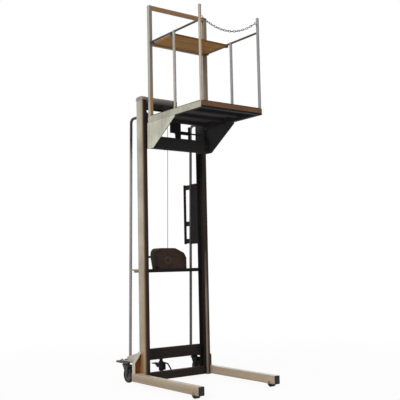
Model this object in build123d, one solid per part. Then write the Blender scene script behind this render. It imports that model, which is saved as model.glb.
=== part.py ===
from build123d import *
import math
import os

# Manual lifting platform, millimetres. Y is counted from the front face of the mast while a piece is
# modelled, with the front towards -Y, and every piece is then moved so that the origin is under the
# middle of the machine.

# Mast
MAST_W = 770.0
MAST_TOP = 2750.0
UP_DEPTH = 115.0
UP_FLANGE = 48.0
UP_T = 6.0
HEAD_DROP = 78.0
HEAD_CAP = 36.0
HEAD_WALL = 6.0
HEAD_LIP = 4.0
HEAD_INSET = 8.0
HEAD_ROUND = 28.0
HEAD_LOW_H = 42.0
CAP_ROUND = 30.0
CAP_EDGE = 5.0
CHEEK_GAP = 3.0

# Base
LEG_W = 60.0
LEG_H = 76.0
LEG_T = 4.0
LEG_CLEAR = 30.0
LEG_FRONT = 928.0
LEG_REAR = 135.0
LEG_PAD = 16.0
CAP_T = 4.0
CAP_PLUG = 14.0
PLUG_GAP = 0.2
CROSS_D = 60.0
CROSS_T = 4.0
RAIL_Z = 218.0
RAIL_H = 106.0
RAIL_D = 40.0
RAIL_T = 5.0
REAR_LINE = 92.0
BRACKET_T = 6.0
BRACKET_RECESS = 35.0
BRACKET_WEB = 12.0
BRACKET_OUT_H = 102.0
BRACKET_IN_H = 201.0
REAR_REACH = 455.0

# Front rollers
ROLLER_R = 40.0
ROLLER_W = 44.0
ROLLER_BACK = 73.0
ROLLER_AXLE_R = 8.0
HEAD_T = 4.0

# Casters
CASTER_H = 203.0
CASTER_PLATE_T = 10.0
CASTER_PLATE_IN = 35.0
CASTER_PLATE_OUT = 12.0
CASTER_PLATE_REAR = 375.0
GUSSET_T = 8.0
GUSSET_REAR = 330.0
GUSSET_H = 82.0
GUSSET_END_H = 28.0
KING_X = 415.0
KING_Y = 315.0
KING_R = 8.0
TRAIL = 50.0
WHEEL_R = 75.0
WHEEL_W = 36.0
CASTER_AXLE_R = 6.0
FORK_T = 6.0
FORK_GAP = 4.0
FORK_EYE_R = 17.0
CROWN_R = 33.0
CROWN_H = 31.0
LEVER_W = 10.0
LEVER_H = 17.0
LEVER_FRONT = 215.0
LEVER_REAR = 430.0
LEVER_PIN_R = 4.0
LEVER_PAD_L = 45.0
LEVER_PAD_W = 36.0
LEVER_LEAD = 12.0

# Floor lock
LOCK_Y = 320.0
LOCK_R = 25.0
LOCK_BORE = 15.0
LOCK_BOTTOM = 70.0
LOCK_SHOULDER = 160.0
LOCK_NECK_R = 17.0
LOCK_BOX_X = 42.0
LOCK_BOX_D = 40.0
LOCK_BOX_H = 75.0
LOCK_ARM_W = 60.0
LOCK_ARM_H = 30.0
LOCK_LIFT = 15.5
LOCK_FOOT_R = 40.0
LOCK_FOOT_H = 22.0
STAY_R = 7.0
STAY_BEND = 22.0
STAY_Z = 150.0
STAY_LEAD = 25.0
STAY_KNEE = 200.0
LOCK_SLOT = 22.0
PEDAL_ARM = 16.0
PEDAL_DIP = 26.0
PEDAL_DIP_L = 21.0
PEDAL_RISE = 4.0
PEDAL_NOSE = 8.0
PEDAL_W = 62.0
PEDAL_T = 8.0
PEDAL_PIN_R = 5.0
PEDAL_ROOM = 33.0
TREAD_L = 52.0
PLUNGER_EDGE = 3.0

# Rear tubes and grip
TUBE_R = 14.0
TUBE_BORE = 11.0
TUBE_X = 368.0
TUBE_TOP = 2590.0
TUBE_TOP_Y = 240.0
TUBE_FOOT_Y = 311.0
TUBE_BEND = 45.0
TIE_Z = 1080.0
TIE_H = 15.0
TIE_T = 8.0
GRIP_Z = 1345.0
GRIP_H = 630.0
GRIP_T = 6.0
GRIP_BAR_R = 14.0
GRIP_BAR_BACK = 100.0
GRIP_STEP_H = 50.0

# Winch shelf and winch
SHELF_Z = 1093.0
SHELF_T = 6.0
SHELF_LIP = 33.0
SHELF_REAR = 236.0
SHELF_IN = 21.0
HOOD_W = 356.0
HOOD_H = 206.0
HOOD_R = 55.0
HOOD_BEND = 60.0
HOOD_LEAN = 21.0
HOOD_LEAN_H = 110.0
HOOD_FLAT = 40.0
HOOD_SHOULDER_X = 150.0
HOOD_SHOULDER_DROP = 49.0
HOOD_SHOULDER_R = 40.0
HOOD_SIDE_DROP = 100.0
HOOD_SIDE_R = 30.0
HOOD_T = 2.0
HOOD_FRONT = 95.0
HOOD_REAR = 215.0
HOOD_SLOT = 16.0
COVER_UP = 83.0
COVER_R = 38.0
COVER_RIM = 7.0
COVER_HUB_R = 13.0
COVER_T = 5.0
DRUM_X = -50.0
DRUM_UP = 105.0
DRUM_R = 47.0
DRUM_FLANGE_R = 66.0
DRUM_SHAFT_R = 12.0
ROPE_D = 6.0
ROPE_TURNS = 8
ROPE_PITCH = 6.7
WIND_LIFT = 0.2
GEAR_MODULE = 3.0
GEAR_TEETH = 60
PINION_TEETH = 15
GEAR_W = 12.0
GEAR_ANGLE = 8.0
PINION_SHAFT_R = 10.0
CHEEK_T = 6.0
FOOT_T = 6.0
FOOT_W = 300.0
FOOT_BOLT_IN = 12.0
FOOT_BOLT_Y = 14.0
CHEEK_TOE_LEFT = 62.0
CHEEK_TOE_RIGHT = 50.0
CHEEK_SHOULDER = 34.0
CHEEK_RISE = 8.0
RATCHET_R = 30.0
RATCHET_TEETH = 15
RATCHET_W = 6.0
PAWL_PIN_R = 5.0
CRANK_R = 250.0
CRANK_Y = 246.0
CRANK_T = 10.0
CRANK_W = 22.0
CRANK_GRIP_L = 110.0
CRANK_GRIP_R = 15.0
CRANK_PIN_R = 6.0

# Rope top sheave
SHEAVE_R = 66.0
SHEAVE_PITCH_R = 60.0
SHEAVE_W = 30.0
SHEAVE_Y = 68.0
SHEAVE_Z = 2705.0
SHEAVE_AXLE_R = 10.0

# Carriage and platform, stored raised
PLAT_GAP = 55.0
DECK_W = 712.0
DECK_D = 855.0
DECK_TOP = 2573.0
DECK_H = 64.0
DECK_PLATE_T = 4.0
DECK_SIDE = 40.0
DECK_T = 3.0
DECK_REAR_H = 34.0
PLAT_BRACKET_T = 8.0
PLAT_BRACKET_L = 447.0
PLAT_BRACKET_NOSE = 80.0
PLAT_BRACKET_BACK = 18.0
BEAM_Z = 2255.0
BEAM_H = 123.0
BEAM_D = 42.0
BEAM_T = 6.0
ROLL_PLATE_T = 8.0
ROLL_PLATE_GAP = 7.0
ROLL_PLATE_TOP = 2640.0
ROLL_PLATE_REAR = 82.0
GUIDE_GAP = 0.4
GUIDE_W = 36.0
GUIDE_SIDE = 2.0
GUIDE_PIN_R = 12.0
GUIDE_LOW = 2322.0
GUIDE_HIGH = 2582.0
ANCHOR_LEFT = 97.0
ANCHOR_RIGHT = 31.0
ANCHOR_STEM = 36.0
ANCHOR_EAR_T = 8.0
ANCHOR_T = 8.0
ANCHOR_NOTCH_Z = 2435.0
ANCHOR_PIN_Z = 2478.0
LUG_T = 7.0
LUG_GAP = 14.0
SOCKET_R = 8.0
SOCKET_TOP = 2512.0
CATCH_Y = 30.0
CATCH_Z = 2462.0
CATCH_R = 8.0
CATCH_HUB_R = 18.0
CATCH_LEVER_X = 185.0
CATCH_LEVER_T = 16.0
CATCH_CAM_R = 26.0
CATCH_LEVER_LOW = 60.0
CATCH_LEVER_HIGH = 68.0

# Guard rails, tray and chain
POST_W = 38.0
POST_T = 3.0
POST_GAP = 0.5
REAR_RAIL_TOP = 1101.0
SIDE_RAIL_TOP = 737.0
FRONT_POST_H = 868.0
ROUND_R = 14.0
SIDE_RAIL_R = 10.0
MID_POST_BACK = 439.0
TRAY_H = 702.0
TRAY_T = 18.0
TRAY_SET = 25.0
TRAY_GAP = 1.0
CLEAT_L = 30.0
CLEAT_T = 5.0
CLEAT_W = 14.0
EYE_R = 12.0
EYE_WIRE = 3.0
CHAIN_LEFT_H = 752.0
CHAIN_RIGHT_H = 812.0
LINK_WIRE = 5.0
LINK_PITCH = 27.0
LINK_W = 20.0
LINK_GAP = 0.5
HOOK_WIRE = 6.0
HOOK_L = 62.0
HOOK_W = 30.0
HOOK_TILT = 33.0

# Fits
PRESS = 0.03
RUN = 0.05
FREE = 0.3
FILLET = 4.0

# Derived places
MAST_Y = (LEG_FRONT + CAP_T - REAR_REACH) / 2
WEB_X = MAST_W / 2
TIP_X = WEB_X - UP_FLANGE
LEG_IN = WEB_X + LEG_PAD
LEG_OUT = LEG_IN + LEG_W
LEG_TOP = LEG_CLEAR + LEG_H
LEG_X = (LEG_IN + LEG_OUT) / 2
BRACKET_FRONT = UP_DEPTH - BRACKET_RECESS
BRACKET_REAR = UP_DEPTH + BRACKET_WEB
FRONT_AXLE_Y = -LEG_FRONT + ROLLER_BACK
CASTER_TOP = CASTER_H + CASTER_PLATE_T
LEVER_Z = CASTER_H - LEVER_H / 2
DRUM_Z = SHELF_Z + DRUM_UP
ROPE_R = ROPE_D / 2
WIND_R = DRUM_R + ROPE_R + WIND_LIFT
GEAR_R = GEAR_MODULE * GEAR_TEETH / 2
PINION_R = GEAR_MODULE * PINION_TEETH / 2
GEAR_SPREAD = GEAR_R + PINION_R
PINION_X = DRUM_X + GEAR_SPREAD * math.cos(math.radians(GEAR_ANGLE))
PINION_Z = DRUM_Z + GEAR_SPREAD * math.sin(math.radians(GEAR_ANGLE))
CHEEK_FRONT = HOOD_FRONT + HOOD_T + 3
CHEEK_REAR = HOOD_REAR - HOOD_T - 13
DRUM_FRONT = CHEEK_FRONT + CHEEK_T + 2
GEAR_FRONT = CHEEK_REAR - CHEEK_T - GEAR_W - 3
WIND_FRONT = GEAR_FRONT - 5 - ROPE_R - ROPE_TURNS * ROPE_PITCH
ROPE_LEAVE_Y = WIND_FRONT + ROPE_TURNS * ROPE_PITCH
ROPE_X = DRUM_X + WIND_R
FALL_Y = SHEAVE_Y - SHEAVE_PITCH_R
FALL_TOP = SHEAVE_Z - 15
DECK_X = DECK_W / 2
DECK_REAR = -PLAT_GAP
DECK_FRONT = DECK_REAR - DECK_D
DECK_BOTTOM = DECK_TOP - DECK_H
DECK_UNDER = DECK_TOP - DECK_PLATE_T
ROLL_PLATE_X = TIP_X - ROLL_PLATE_GAP
GUIDE_R = UP_DEPTH / 2 - UP_T - GUIDE_GAP
GUIDE_Y = UP_DEPTH / 2
GUIDE_X1 = WEB_X - UP_T - GUIDE_SIDE
GUIDE_X0 = GUIDE_X1 - GUIDE_W
POST_X = DECK_X - ROUND_R
FRONT_POST_Y = DECK_FRONT + ROUND_R
MID_POST_Y = DECK_REAR - MID_POST_BACK
SIDE_RAIL_Z = DECK_TOP + SIDE_RAIL_TOP - SIDE_RAIL_R
TRAY_UNDER = DECK_TOP + TRAY_H
TRAY_TOP = TRAY_UNDER + TRAY_T
TRAY_X = POST_X - SIDE_RAIL_R - TRAY_GAP
TRAY_FRONT = MID_POST_Y + TRAY_SET
CHAIN_Y = FRONT_POST_Y


def box(x0, x1, y0, y1, z0, z1):
    return Pos((x0 + x1) / 2, (y0 + y1) / 2, (z0 + z1) / 2) * Box(x1 - x0, y1 - y0, z1 - z0)


def rod(axis, radius, start, end, u, v):
    planes = {
        "X": Plane(origin=(start, u, v), z_dir=(1, 0, 0)),
        "Y": Plane(origin=(u, start, v), z_dir=(0, 1, 0)),
        "Z": Plane(origin=(u, v, start), z_dir=(0, 0, 1)),
    }
    return extrude(planes[axis] * Circle(radius), amount=end - start)


def outline(*points):
    return make_face(Polyline(*points, close=True))


def prism_xz(face, y0, y1):
    plane = Plane(origin=(0, y1, 0), x_dir=(1, 0, 0), z_dir=(0, -1, 0))
    return extrude(plane * face, amount=y1 - y0)


def prism_yz(face, x0, x1):
    plane = Plane(origin=(x0, 0, 0), x_dir=(0, 1, 0), z_dir=(1, 0, 0))
    return extrude(plane * face, amount=x1 - x0)


def rounded_box(x0, x1, y0, y1, z0, z1, axis, radius):
    body = box(x0, x1, y0, y1, z0, z1)
    return fillet(body.edges().filter_by(axis), radius)


def hollow(x0, x1, y0, y1, z0, z1, axis, wall):
    outer = rounded_box(x0, x1, y0, y1, z0, z1, axis, FILLET)
    dx, dy, dz = (0 if axis == a else wall for a in (Axis.X, Axis.Y, Axis.Z))
    return outer - box(x0 + dx, x1 - dx, y0 + dy, y1 - dy, z0 + dz, z1 - dz)


def mirrored(shape):
    return mirror(shape, about=Plane.YZ)


def save(name, *pieces):
    solids = [Pos(0, MAST_Y, 0) * solid for piece in pieces for solid in piece.solids()]
    shape = solids[0] if len(solids) == 1 else Compound(solids)
    export_step(shape, f"parts/{name}.step")


def save_pair(name, make):
    left = make()
    save(f"{name}_left", *left)
    save(f"{name}_right", *[mirrored(s) for s in left])


# Base frame

def leg():
    x0, x1 = -LEG_OUT, -LEG_IN
    body = hollow(x0, x1, -LEG_FRONT, LEG_REAR, LEG_CLEAR, LEG_TOP, Axis.Y, LEG_T)
    slot = ROLLER_R + 5
    body -= box(x0 + LEG_T, x1 - LEG_T, FRONT_AXLE_Y - slot, FRONT_AXLE_Y + slot,
                LEG_CLEAR - 1, LEG_CLEAR + LEG_T + 1)
    body -= rod("X", ROLLER_AXLE_R + PRESS, x0 - 1, x1 + 1, FRONT_AXLE_Y, ROLLER_R)
    return [body]


def leg_end_caps():
    caps = []
    inset = LEG_T + PLUG_GAP
    for x0, x1 in ((-LEG_OUT, -LEG_IN), (LEG_IN, LEG_OUT)):
        for face, sign in ((-LEG_FRONT, 1), (LEG_REAR, -1)):
            lid = sorted((face, face - sign * CAP_T))
            plug = sorted((face, face + sign * CAP_PLUG))
            cap = rounded_box(x0, x1, *lid, LEG_CLEAR, LEG_TOP, Axis.Y, FILLET)
            cap += box(x0 + inset, x1 - inset, *plug, LEG_CLEAR + inset, LEG_TOP - inset)
            caps.append(cap)
    return caps


def cross_tube():
    middle = UP_DEPTH / 2
    inner = WEB_X - UP_T
    return hollow(-inner, inner, middle - CROSS_D / 2, middle + CROSS_D / 2, LEG_CLEAR, LEG_TOP,
                  Axis.X, CROSS_T)


def top_rail():
    outer = box(-TIP_X, TIP_X, REAR_LINE, REAR_LINE + RAIL_D, RAIL_Z, RAIL_Z + RAIL_H)
    inner = box(-TIP_X, TIP_X, REAR_LINE + RAIL_T, REAR_LINE + RAIL_D,
                RAIL_Z + RAIL_T, RAIL_Z + RAIL_H - RAIL_T)
    return outer - inner


def leg_bracket():
    top = LEG_TOP + BRACKET_IN_H
    out_top = LEG_TOP + BRACKET_OUT_H
    pad = box(-LEG_IN, -WEB_X, BRACKET_T, LEG_REAR, LEG_CLEAR, LEG_TOP)
    shell = outline((-WEB_X, LEG_TOP), (-LEG_OUT, LEG_TOP), (-LEG_OUT, out_top), (-WEB_X, top))
    room = outline((-WEB_X, LEG_TOP - 1), (-LEG_OUT + BRACKET_T, LEG_TOP - 1),
                   (-LEG_OUT + BRACKET_T, out_top - BRACKET_T), (-WEB_X, top - 2 * BRACKET_T))
    cover = prism_xz(shell, BRACKET_FRONT, BRACKET_REAR) - prism_xz(room, BRACKET_FRONT - 1, UP_DEPTH)
    return [pad + cover]


def caster_plate():
    outer = -LEG_OUT + CASTER_PLATE_OUT
    inner = -WEB_X + CASTER_PLATE_IN
    plate = box(outer, inner, BRACKET_REAR, CASTER_PLATE_REAR, CASTER_H, CASTER_TOP)
    plate += box(-WEB_X, inner, UP_DEPTH, BRACKET_REAR, CASTER_H, CASTER_TOP)
    web = outline((BRACKET_REAR, CASTER_TOP), (GUSSET_REAR, CASTER_TOP),
                  (GUSSET_REAR, CASTER_TOP + GUSSET_END_H), (BRACKET_REAR, CASTER_TOP + GUSSET_H))
    plate += prism_yz(web, -WEB_X - GUSSET_T, -WEB_X)
    plate -= rod("Z", KING_R + PRESS, CASTER_H - 1, CASTER_TOP + 1, -KING_X, KING_Y)
    ear = box(-LEG_OUT + LEVER_W + FREE, outer + 14, LEVER_FRONT - 12, LEVER_FRONT + 12,
              LEVER_Z - 12, CASTER_H)
    pin = rod("X", LEVER_PIN_R, -LEG_OUT - 2, outer + 10, LEVER_FRONT, LEVER_Z)
    return [plate + ear + pin]


# Front rollers and casters

def front_roller(side):
    half = ROLLER_W / 2
    body = rod("X", ROLLER_R, side * LEG_X - half, side * LEG_X + half, FRONT_AXLE_Y, ROLLER_R)
    body = chamfer(body.edges().filter_by(GeomType.CIRCLE), 3)
    bore = rod("X", ROLLER_AXLE_R + RUN, side * LEG_X - half, side * LEG_X + half, FRONT_AXLE_Y, ROLLER_R)
    return body - bore


def front_axle(side):
    x0, x1 = sorted((side * LEG_IN, side * LEG_OUT))
    pin = rod("X", ROLLER_AXLE_R, x0, x1, FRONT_AXLE_Y, ROLLER_R)
    for a, b in ((x0 - HEAD_T, x0), (x1, x1 + HEAD_T)):
        pin += rod("X", ROLLER_AXLE_R + 5, a, b, FRONT_AXLE_Y, ROLLER_R)
    return pin


def kingpin(side):
    x = side * KING_X
    yoke_under = CASTER_H - CROWN_H - FORK_T - 2
    pin = rod("Z", KING_R, yoke_under - 8, CASTER_TOP + 12, x, KING_Y)
    pin += rod("Z", KING_R + 5, yoke_under - 8, yoke_under - FREE, x, KING_Y)
    nut = Pos(x, KING_Y, CASTER_TOP) * extrude(RegularPolygon(KING_R + 6, 6), amount=10)
    return pin + nut


def winch_bolt(x, y):
    top = SHELF_Z + FOOT_T
    return Pos(x, y, top) * extrude(RegularPolygon(8, 6), amount=6)


def base_fasteners():
    pieces = [front_axle(s) for s in (-1, 1)] + [kingpin(s) for s in (-1, 1)]
    bolt_x = FOOT_W / 2 - FOOT_BOLT_IN
    for x in (-bolt_x, bolt_x):
        for y in (CHEEK_FRONT + FOOT_BOLT_Y, CHEEK_REAR - FOOT_BOLT_Y):
            pieces.append(winch_bolt(x, y))
    return pieces


def caster_fork(side):
    inner = WHEEL_W / 2 + FORK_GAP
    crown_bottom = CASTER_H - CROWN_H
    crown = rod("Z", CROWN_R, crown_bottom, CASTER_H - FREE, 0, 0)
    yoke = box(-inner - FORK_T, inner + FORK_T, -TRAIL - 26, 30, crown_bottom - FORK_T - 2, crown_bottom)
    arm_face = outline((22, crown_bottom), (-TRAIL - 22, crown_bottom), (-TRAIL - FORK_EYE_R, WHEEL_R),
                       (-TRAIL + FORK_EYE_R, WHEEL_R))
    arm_face += Pos(-TRAIL, WHEEL_R) * Circle(FORK_EYE_R)
    body = crown + yoke
    for x0 in (-inner - FORK_T, inner):
        body += prism_yz(arm_face, x0, x0 + FORK_T)
    body -= rod("Z", KING_R + RUN, crown_bottom - FORK_T - 3, CASTER_H, 0, 0)
    body -= rod("X", CASTER_AXLE_R + PRESS, -inner - FORK_T - 1, inner + FORK_T + 1, -TRAIL, WHEEL_R)
    reach = inner + FORK_T
    axle = rod("X", CASTER_AXLE_R, -reach, reach, -TRAIL, WHEEL_R)
    for a, b in ((-reach - HEAD_T, -reach), (reach, reach + HEAD_T)):
        axle += rod("X", CASTER_AXLE_R + 4, a, b, -TRAIL, WHEEL_R)
    place = Pos(side * KING_X, KING_Y, 0)
    return [place * body, place * axle]


def caster_wheel(side):
    half = WHEEL_W / 2
    hub = half + FORK_GAP - 1
    profile = outline((CASTER_AXLE_R + RUN, -hub), (18, -hub), (18, -half + 6), (WHEEL_R - 16, -half + 6),
                      (WHEEL_R - 12, -half), (WHEEL_R - 5, -half), (WHEEL_R, -half + 8), (WHEEL_R, half - 8),
                      (WHEEL_R - 5, half), (WHEEL_R - 12, half), (WHEEL_R - 16, half - 6), (18, half - 6),
                      (18, hub), (CASTER_AXLE_R + RUN, hub))
    body = revolve(profile, Axis.Y)
    place = Pos(side * KING_X, KING_Y - TRAIL, WHEEL_R)
    return place * Rot(0, 0, 90) * body


def caster_lever():
    x0, x1 = -LEG_OUT, -LEG_OUT + LEVER_W
    bar = box(x0, x1, LEVER_FRONT - LEVER_LEAD, LEVER_REAR - LEVER_PAD_L, LEVER_Z - LEVER_H / 2,
              LEVER_Z + LEVER_H / 2)
    pad = box(x0, x0 + LEVER_PAD_W, LEVER_REAR - LEVER_PAD_L, LEVER_REAR,
              LEVER_Z - LEVER_H / 2, LEVER_Z + LEVER_H / 2)
    pad = fillet(pad.edges().filter_by(Axis.Z).group_by(Axis.Y)[-1], 6)
    return [bar - rod("X", LEVER_PIN_R + RUN, x0 - 1, x1 + 1, LEVER_FRONT, LEVER_Z), pad]


# Floor lock behind the lower frame

def lock_body():
    arm_z = CASTER_TOP
    rear = LOCK_Y + LOCK_R + 8
    slot_low = pedal_pin()[1] - PEDAL_ROOM
    slot_top = STAY_Z - STAY_R - 3
    half_slot = PEDAL_ARM / 2 + 2
    arm = box(-LOCK_ARM_W / 2, LOCK_ARM_W / 2, REAR_LINE + RAIL_D, rear, arm_z, arm_z + LOCK_ARM_H)
    arm += rod("Z", LOCK_NECK_R, LOCK_SHOULDER, arm_z, 0, LOCK_Y)
    arm += rod("Z", LOCK_R, LOCK_BOTTOM, LOCK_SHOULDER, 0, LOCK_Y)
    arm += box(LOCK_BORE + 2, LOCK_BOX_X, LOCK_Y - LOCK_BOX_D / 2, LOCK_Y + LOCK_BOX_D / 2,
               LOCK_SHOULDER - LOCK_BOX_H - 10, LOCK_SHOULDER - 10)
    arm -= rod("Z", LOCK_BORE + RUN, LOCK_BOTTOM - 1, slot_top, 0, LOCK_Y)
    arm -= box(-half_slot, half_slot, LOCK_Y - LOCK_R - 1, LOCK_Y + LOCK_R + 1, slot_low, slot_top)
    for side in (-1, 1):
        x0, x1 = sorted((side * half_slot, side * (half_slot + 6)))
        ear = box(x0, x1, pedal_pin()[0] - 11, LOCK_Y, pedal_pin()[1] - 12, slot_top)
        ear -= rod("Z", LOCK_BORE + 2, LOCK_BOTTOM, slot_top, 0, LOCK_Y)
        arm += ear - rod("X", PEDAL_PIN_R + PRESS, x0 - 1, x1 + 1, *pedal_pin())
    cross_rear = UP_DEPTH / 2 + CROSS_D / 2
    low = LEG_CLEAR + LEG_H / 2
    path = FilletPolyline((0, cross_rear, low), (0, cross_rear + STAY_LEAD, low), (0, STAY_KNEE, STAY_Z),
                          (0, LOCK_Y - LOCK_R + 3, STAY_Z), radius=STAY_BEND)
    arm += sweep(Plane(origin=(0, cross_rear, low), z_dir=(0, 1, 0)) * Circle(STAY_R), path=path)
    pin = rod("X", PEDAL_PIN_R, -half_slot - 9, half_slot + 9, *pedal_pin())
    return [arm, pin]


def pedal_pin():
    return LOCK_Y - LOCK_R - PEDAL_PIN_R - 6, LOCK_BOTTOM + LOCK_SLOT + 30


def lock_plunger():
    foot = rod("Z", LOCK_FOOT_R, LOCK_LIFT, LOCK_LIFT + LOCK_FOOT_H, 0, LOCK_Y)
    foot = fillet(foot.edges().group_by(Axis.Z)[-1], 6)
    stem = rod("Z", LOCK_BORE, LOCK_LIFT + LOCK_FOOT_H, LOCK_BOTTOM + LOCK_SLOT + 20, 0, LOCK_Y)
    return foot + chamfer(stem.edges().group_by(Axis.Z)[-1], PLUNGER_EDGE)


def lock_pedal():
    y, z = pedal_pin()
    half = PEDAL_ARM / 2
    nose = LOCK_BOTTOM + LOCK_SLOT + 20.5
    under = nose + PEDAL_NOSE
    knee = LOCK_Y + LOCK_R + 14
    end = REAR_REACH - 30
    face = Pos(y, z) * Circle(PEDAL_PIN_R + 5) + Pos(LOCK_Y, under) * Circle(PEDAL_NOSE)
    heel = under + PEDAL_RISE
    face += outline((y, under), (knee, under), (knee + PEDAL_DIP_L, under - PEDAL_DIP), (end, heel),
                    (end, heel + 12), (knee, z + PEDAL_PIN_R + 5), (y, z + PEDAL_PIN_R + 5))
    body = prism_yz(face, -half, half) - rod("X", PEDAL_PIN_R + RUN, -half - 1, half + 1, y, z)
    tread = box(-PEDAL_W / 2, PEDAL_W / 2, REAR_REACH - TREAD_L, REAR_REACH, heel + 4, heel + 4 + PEDAL_T)
    return body + fillet(tread.edges().filter_by(Axis.Z), 6)


# Mast

def upright():
    web, tip = -WEB_X, -TIP_X
    face = outline((web, 0), (tip, 0), (tip, UP_T), (web + UP_T, UP_T), (web + UP_T, UP_DEPTH - UP_T),
                   (tip, UP_DEPTH - UP_T), (tip, UP_DEPTH), (web, UP_DEPTH))
    body = extrude(Pos(0, 0, LEG_CLEAR) * face, amount=MAST_TOP - LEG_CLEAR)
    corners = body.edges().filter_by(Axis.Z).group_by(Axis.X)[0]
    return [fillet(corners, FILLET)]


def crosshead():
    top = MAST_TOP + HEAD_CAP
    low = MAST_TOP - HEAD_DROP
    half_slot = SHEAVE_W / 2 + CHEEK_GAP
    tall_end = half_slot + 2 * HEAD_WALL + HEAD_T

    def section(inset, base, peak):
        y0, y1 = HEAD_INSET + inset, UP_DEPTH - HEAD_INSET - inset
        face = outline((y0, base), (y1, base), (y1, peak - inset), (y0, peak - inset))
        return fillet(face.vertices().group_by(Axis.Y)[-1], HEAD_ROUND - inset)

    beam = prism_yz(section(0, low, top), -TIP_X, tall_end)
    beam -= prism_yz(section(HEAD_WALL, low - 1, top), -TIP_X - 1, tall_end - HEAD_WALL / 2)
    shallow = prism_yz(section(0, low, low + HEAD_LOW_H), tall_end, TIP_X)
    beam += shallow - prism_yz(section(HEAD_WALL, low - 1, low + HEAD_LOW_H), tall_end, TIP_X + 1)
    beam += prism_yz(section(0, low, top), TIP_X - HEAD_WALL, TIP_X)
    beam -= box(-half_slot, half_slot, -HEAD_LIP, UP_DEPTH, low - 1, SHEAVE_Z + SHEAVE_R + CHEEK_GAP)
    for side in (-1, 1):
        beam += mast_cap(side, top)
        c0, c1 = sorted((side * half_slot, side * (half_slot + HEAD_WALL)))
        beam += prism_yz(section(HEAD_WALL, low, top), c0, c1)
    reach = half_slot + HEAD_WALL + 1
    return beam - rod("X", SHEAVE_AXLE_R + PRESS, -reach, reach, SHEAVE_Y, SHEAVE_Z)


def mast_cap(side, top):
    y0, y1 = -HEAD_LIP, UP_DEPTH + HEAD_LIP
    face = outline((y0, MAST_TOP), (y1, MAST_TOP), (y1, top), (y0, top))
    face = fillet(face.vertices().group_by(Axis.Y)[-1], CAP_ROUND)
    x0, x1 = sorted((side * (TIP_X - HEAD_WALL), side * (WEB_X + HEAD_LIP)))
    cap = prism_yz(face, x0, x1)
    rim = cap.edges().group_by(Axis.X)[0 if side < 0 else -1]
    return fillet(rim.filter_by(lambda edge: edge.center().Z > MAST_TOP + 1), CAP_EDGE)


def sheave_axle():
    end = SHEAVE_W / 2 + CHEEK_GAP + HEAD_WALL
    pin = rod("X", SHEAVE_AXLE_R, -end - HEAD_T, end + HEAD_T, SHEAVE_Y, SHEAVE_Z)
    return pin + rod("X", SHEAVE_AXLE_R + 5, end, end + HEAD_T, SHEAVE_Y, SHEAVE_Z)


def top_sheave():
    half = SHEAVE_W / 2
    groove = ROPE_R + 0.4
    bore = SHEAVE_AXLE_R + RUN
    face = outline((bore, -half), (SHEAVE_R, -half), (SHEAVE_R, half), (bore, half))
    face -= Pos(SHEAVE_PITCH_R, 0) * Circle(groove)
    face -= outline((SHEAVE_PITCH_R, -groove), (SHEAVE_R + 1, -groove - 4), (SHEAVE_R + 1, groove + 4),
                    (SHEAVE_PITCH_R, groove))
    body = revolve(face, Axis.Y)
    return Pos(0, SHEAVE_Y, SHEAVE_Z) * Rot(0, 0, 90) * body


def tube_y(z):
    share = (TUBE_TOP - z) / (TUBE_TOP - CASTER_TOP)
    return TUBE_TOP_Y + share * (TUBE_FOOT_Y - TUBE_TOP_Y)


def tube_half():
    rise = TUBE_TOP - CASTER_TOP
    return TUBE_R * math.hypot(TUBE_FOOT_Y - TUBE_TOP_Y, rise) / rise + PRESS


def rear_tube():
    path = FilletPolyline((-TUBE_X, UP_DEPTH, TUBE_TOP), (-TUBE_X, TUBE_TOP_Y, TUBE_TOP),
                          (-TUBE_X, TUBE_FOOT_Y, CASTER_TOP), radius=TUBE_BEND)
    start = Plane(origin=(-TUBE_X, UP_DEPTH, TUBE_TOP), z_dir=(0, 1, 0))
    body = sweep(start * Circle(TUBE_R), path=path) - sweep(start * Circle(TUBE_BORE), path=path)
    body -= box(-TUBE_X - 30, -TUBE_X + 30, TUBE_FOOT_Y - 40, TUBE_FOOT_Y + 40, CASTER_TOP - 30, CASTER_TOP)
    x0 = -TUBE_X - TIE_T / 2
    z1 = TIE_Z + TIE_H
    near = tube_half()
    tie = outline((UP_DEPTH, TIE_Z), (tube_y(TIE_Z) - near, TIE_Z), (tube_y(z1) - near, z1), (UP_DEPTH, z1))
    return [body, prism_yz(tie, x0, x0 + TIE_T)]


def grip_handle():
    z0, z1 = GRIP_Z, GRIP_Z + GRIP_H
    x0 = TUBE_X - GRIP_T / 2
    near = tube_half()
    panel = outline((UP_DEPTH, z0), (tube_y(z0) - near, z0), (tube_y(z1) - near, z1), (UP_DEPTH, z1))
    plate = prism_yz(panel, x0, x0 + GRIP_T)
    bar_y = tube_y((z0 + z1) / 2) + GRIP_BAR_BACK
    bar = rod("Z", GRIP_BAR_R, z0, z1, TUBE_X, bar_y)
    bar = fillet(bar.edges().filter_by(GeomType.CIRCLE), 4)
    for low in (z0 + 6, z0 + 0.3 * GRIP_H, z1 - GRIP_STEP_H - 6):
        high = low + GRIP_STEP_H
        step = outline((tube_y(low) + near, low), (bar_y, low), (bar_y, high), (tube_y(high) + near, high))
        bar += prism_yz(step, x0, x0 + GRIP_T)
    return [plate, bar]


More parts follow.
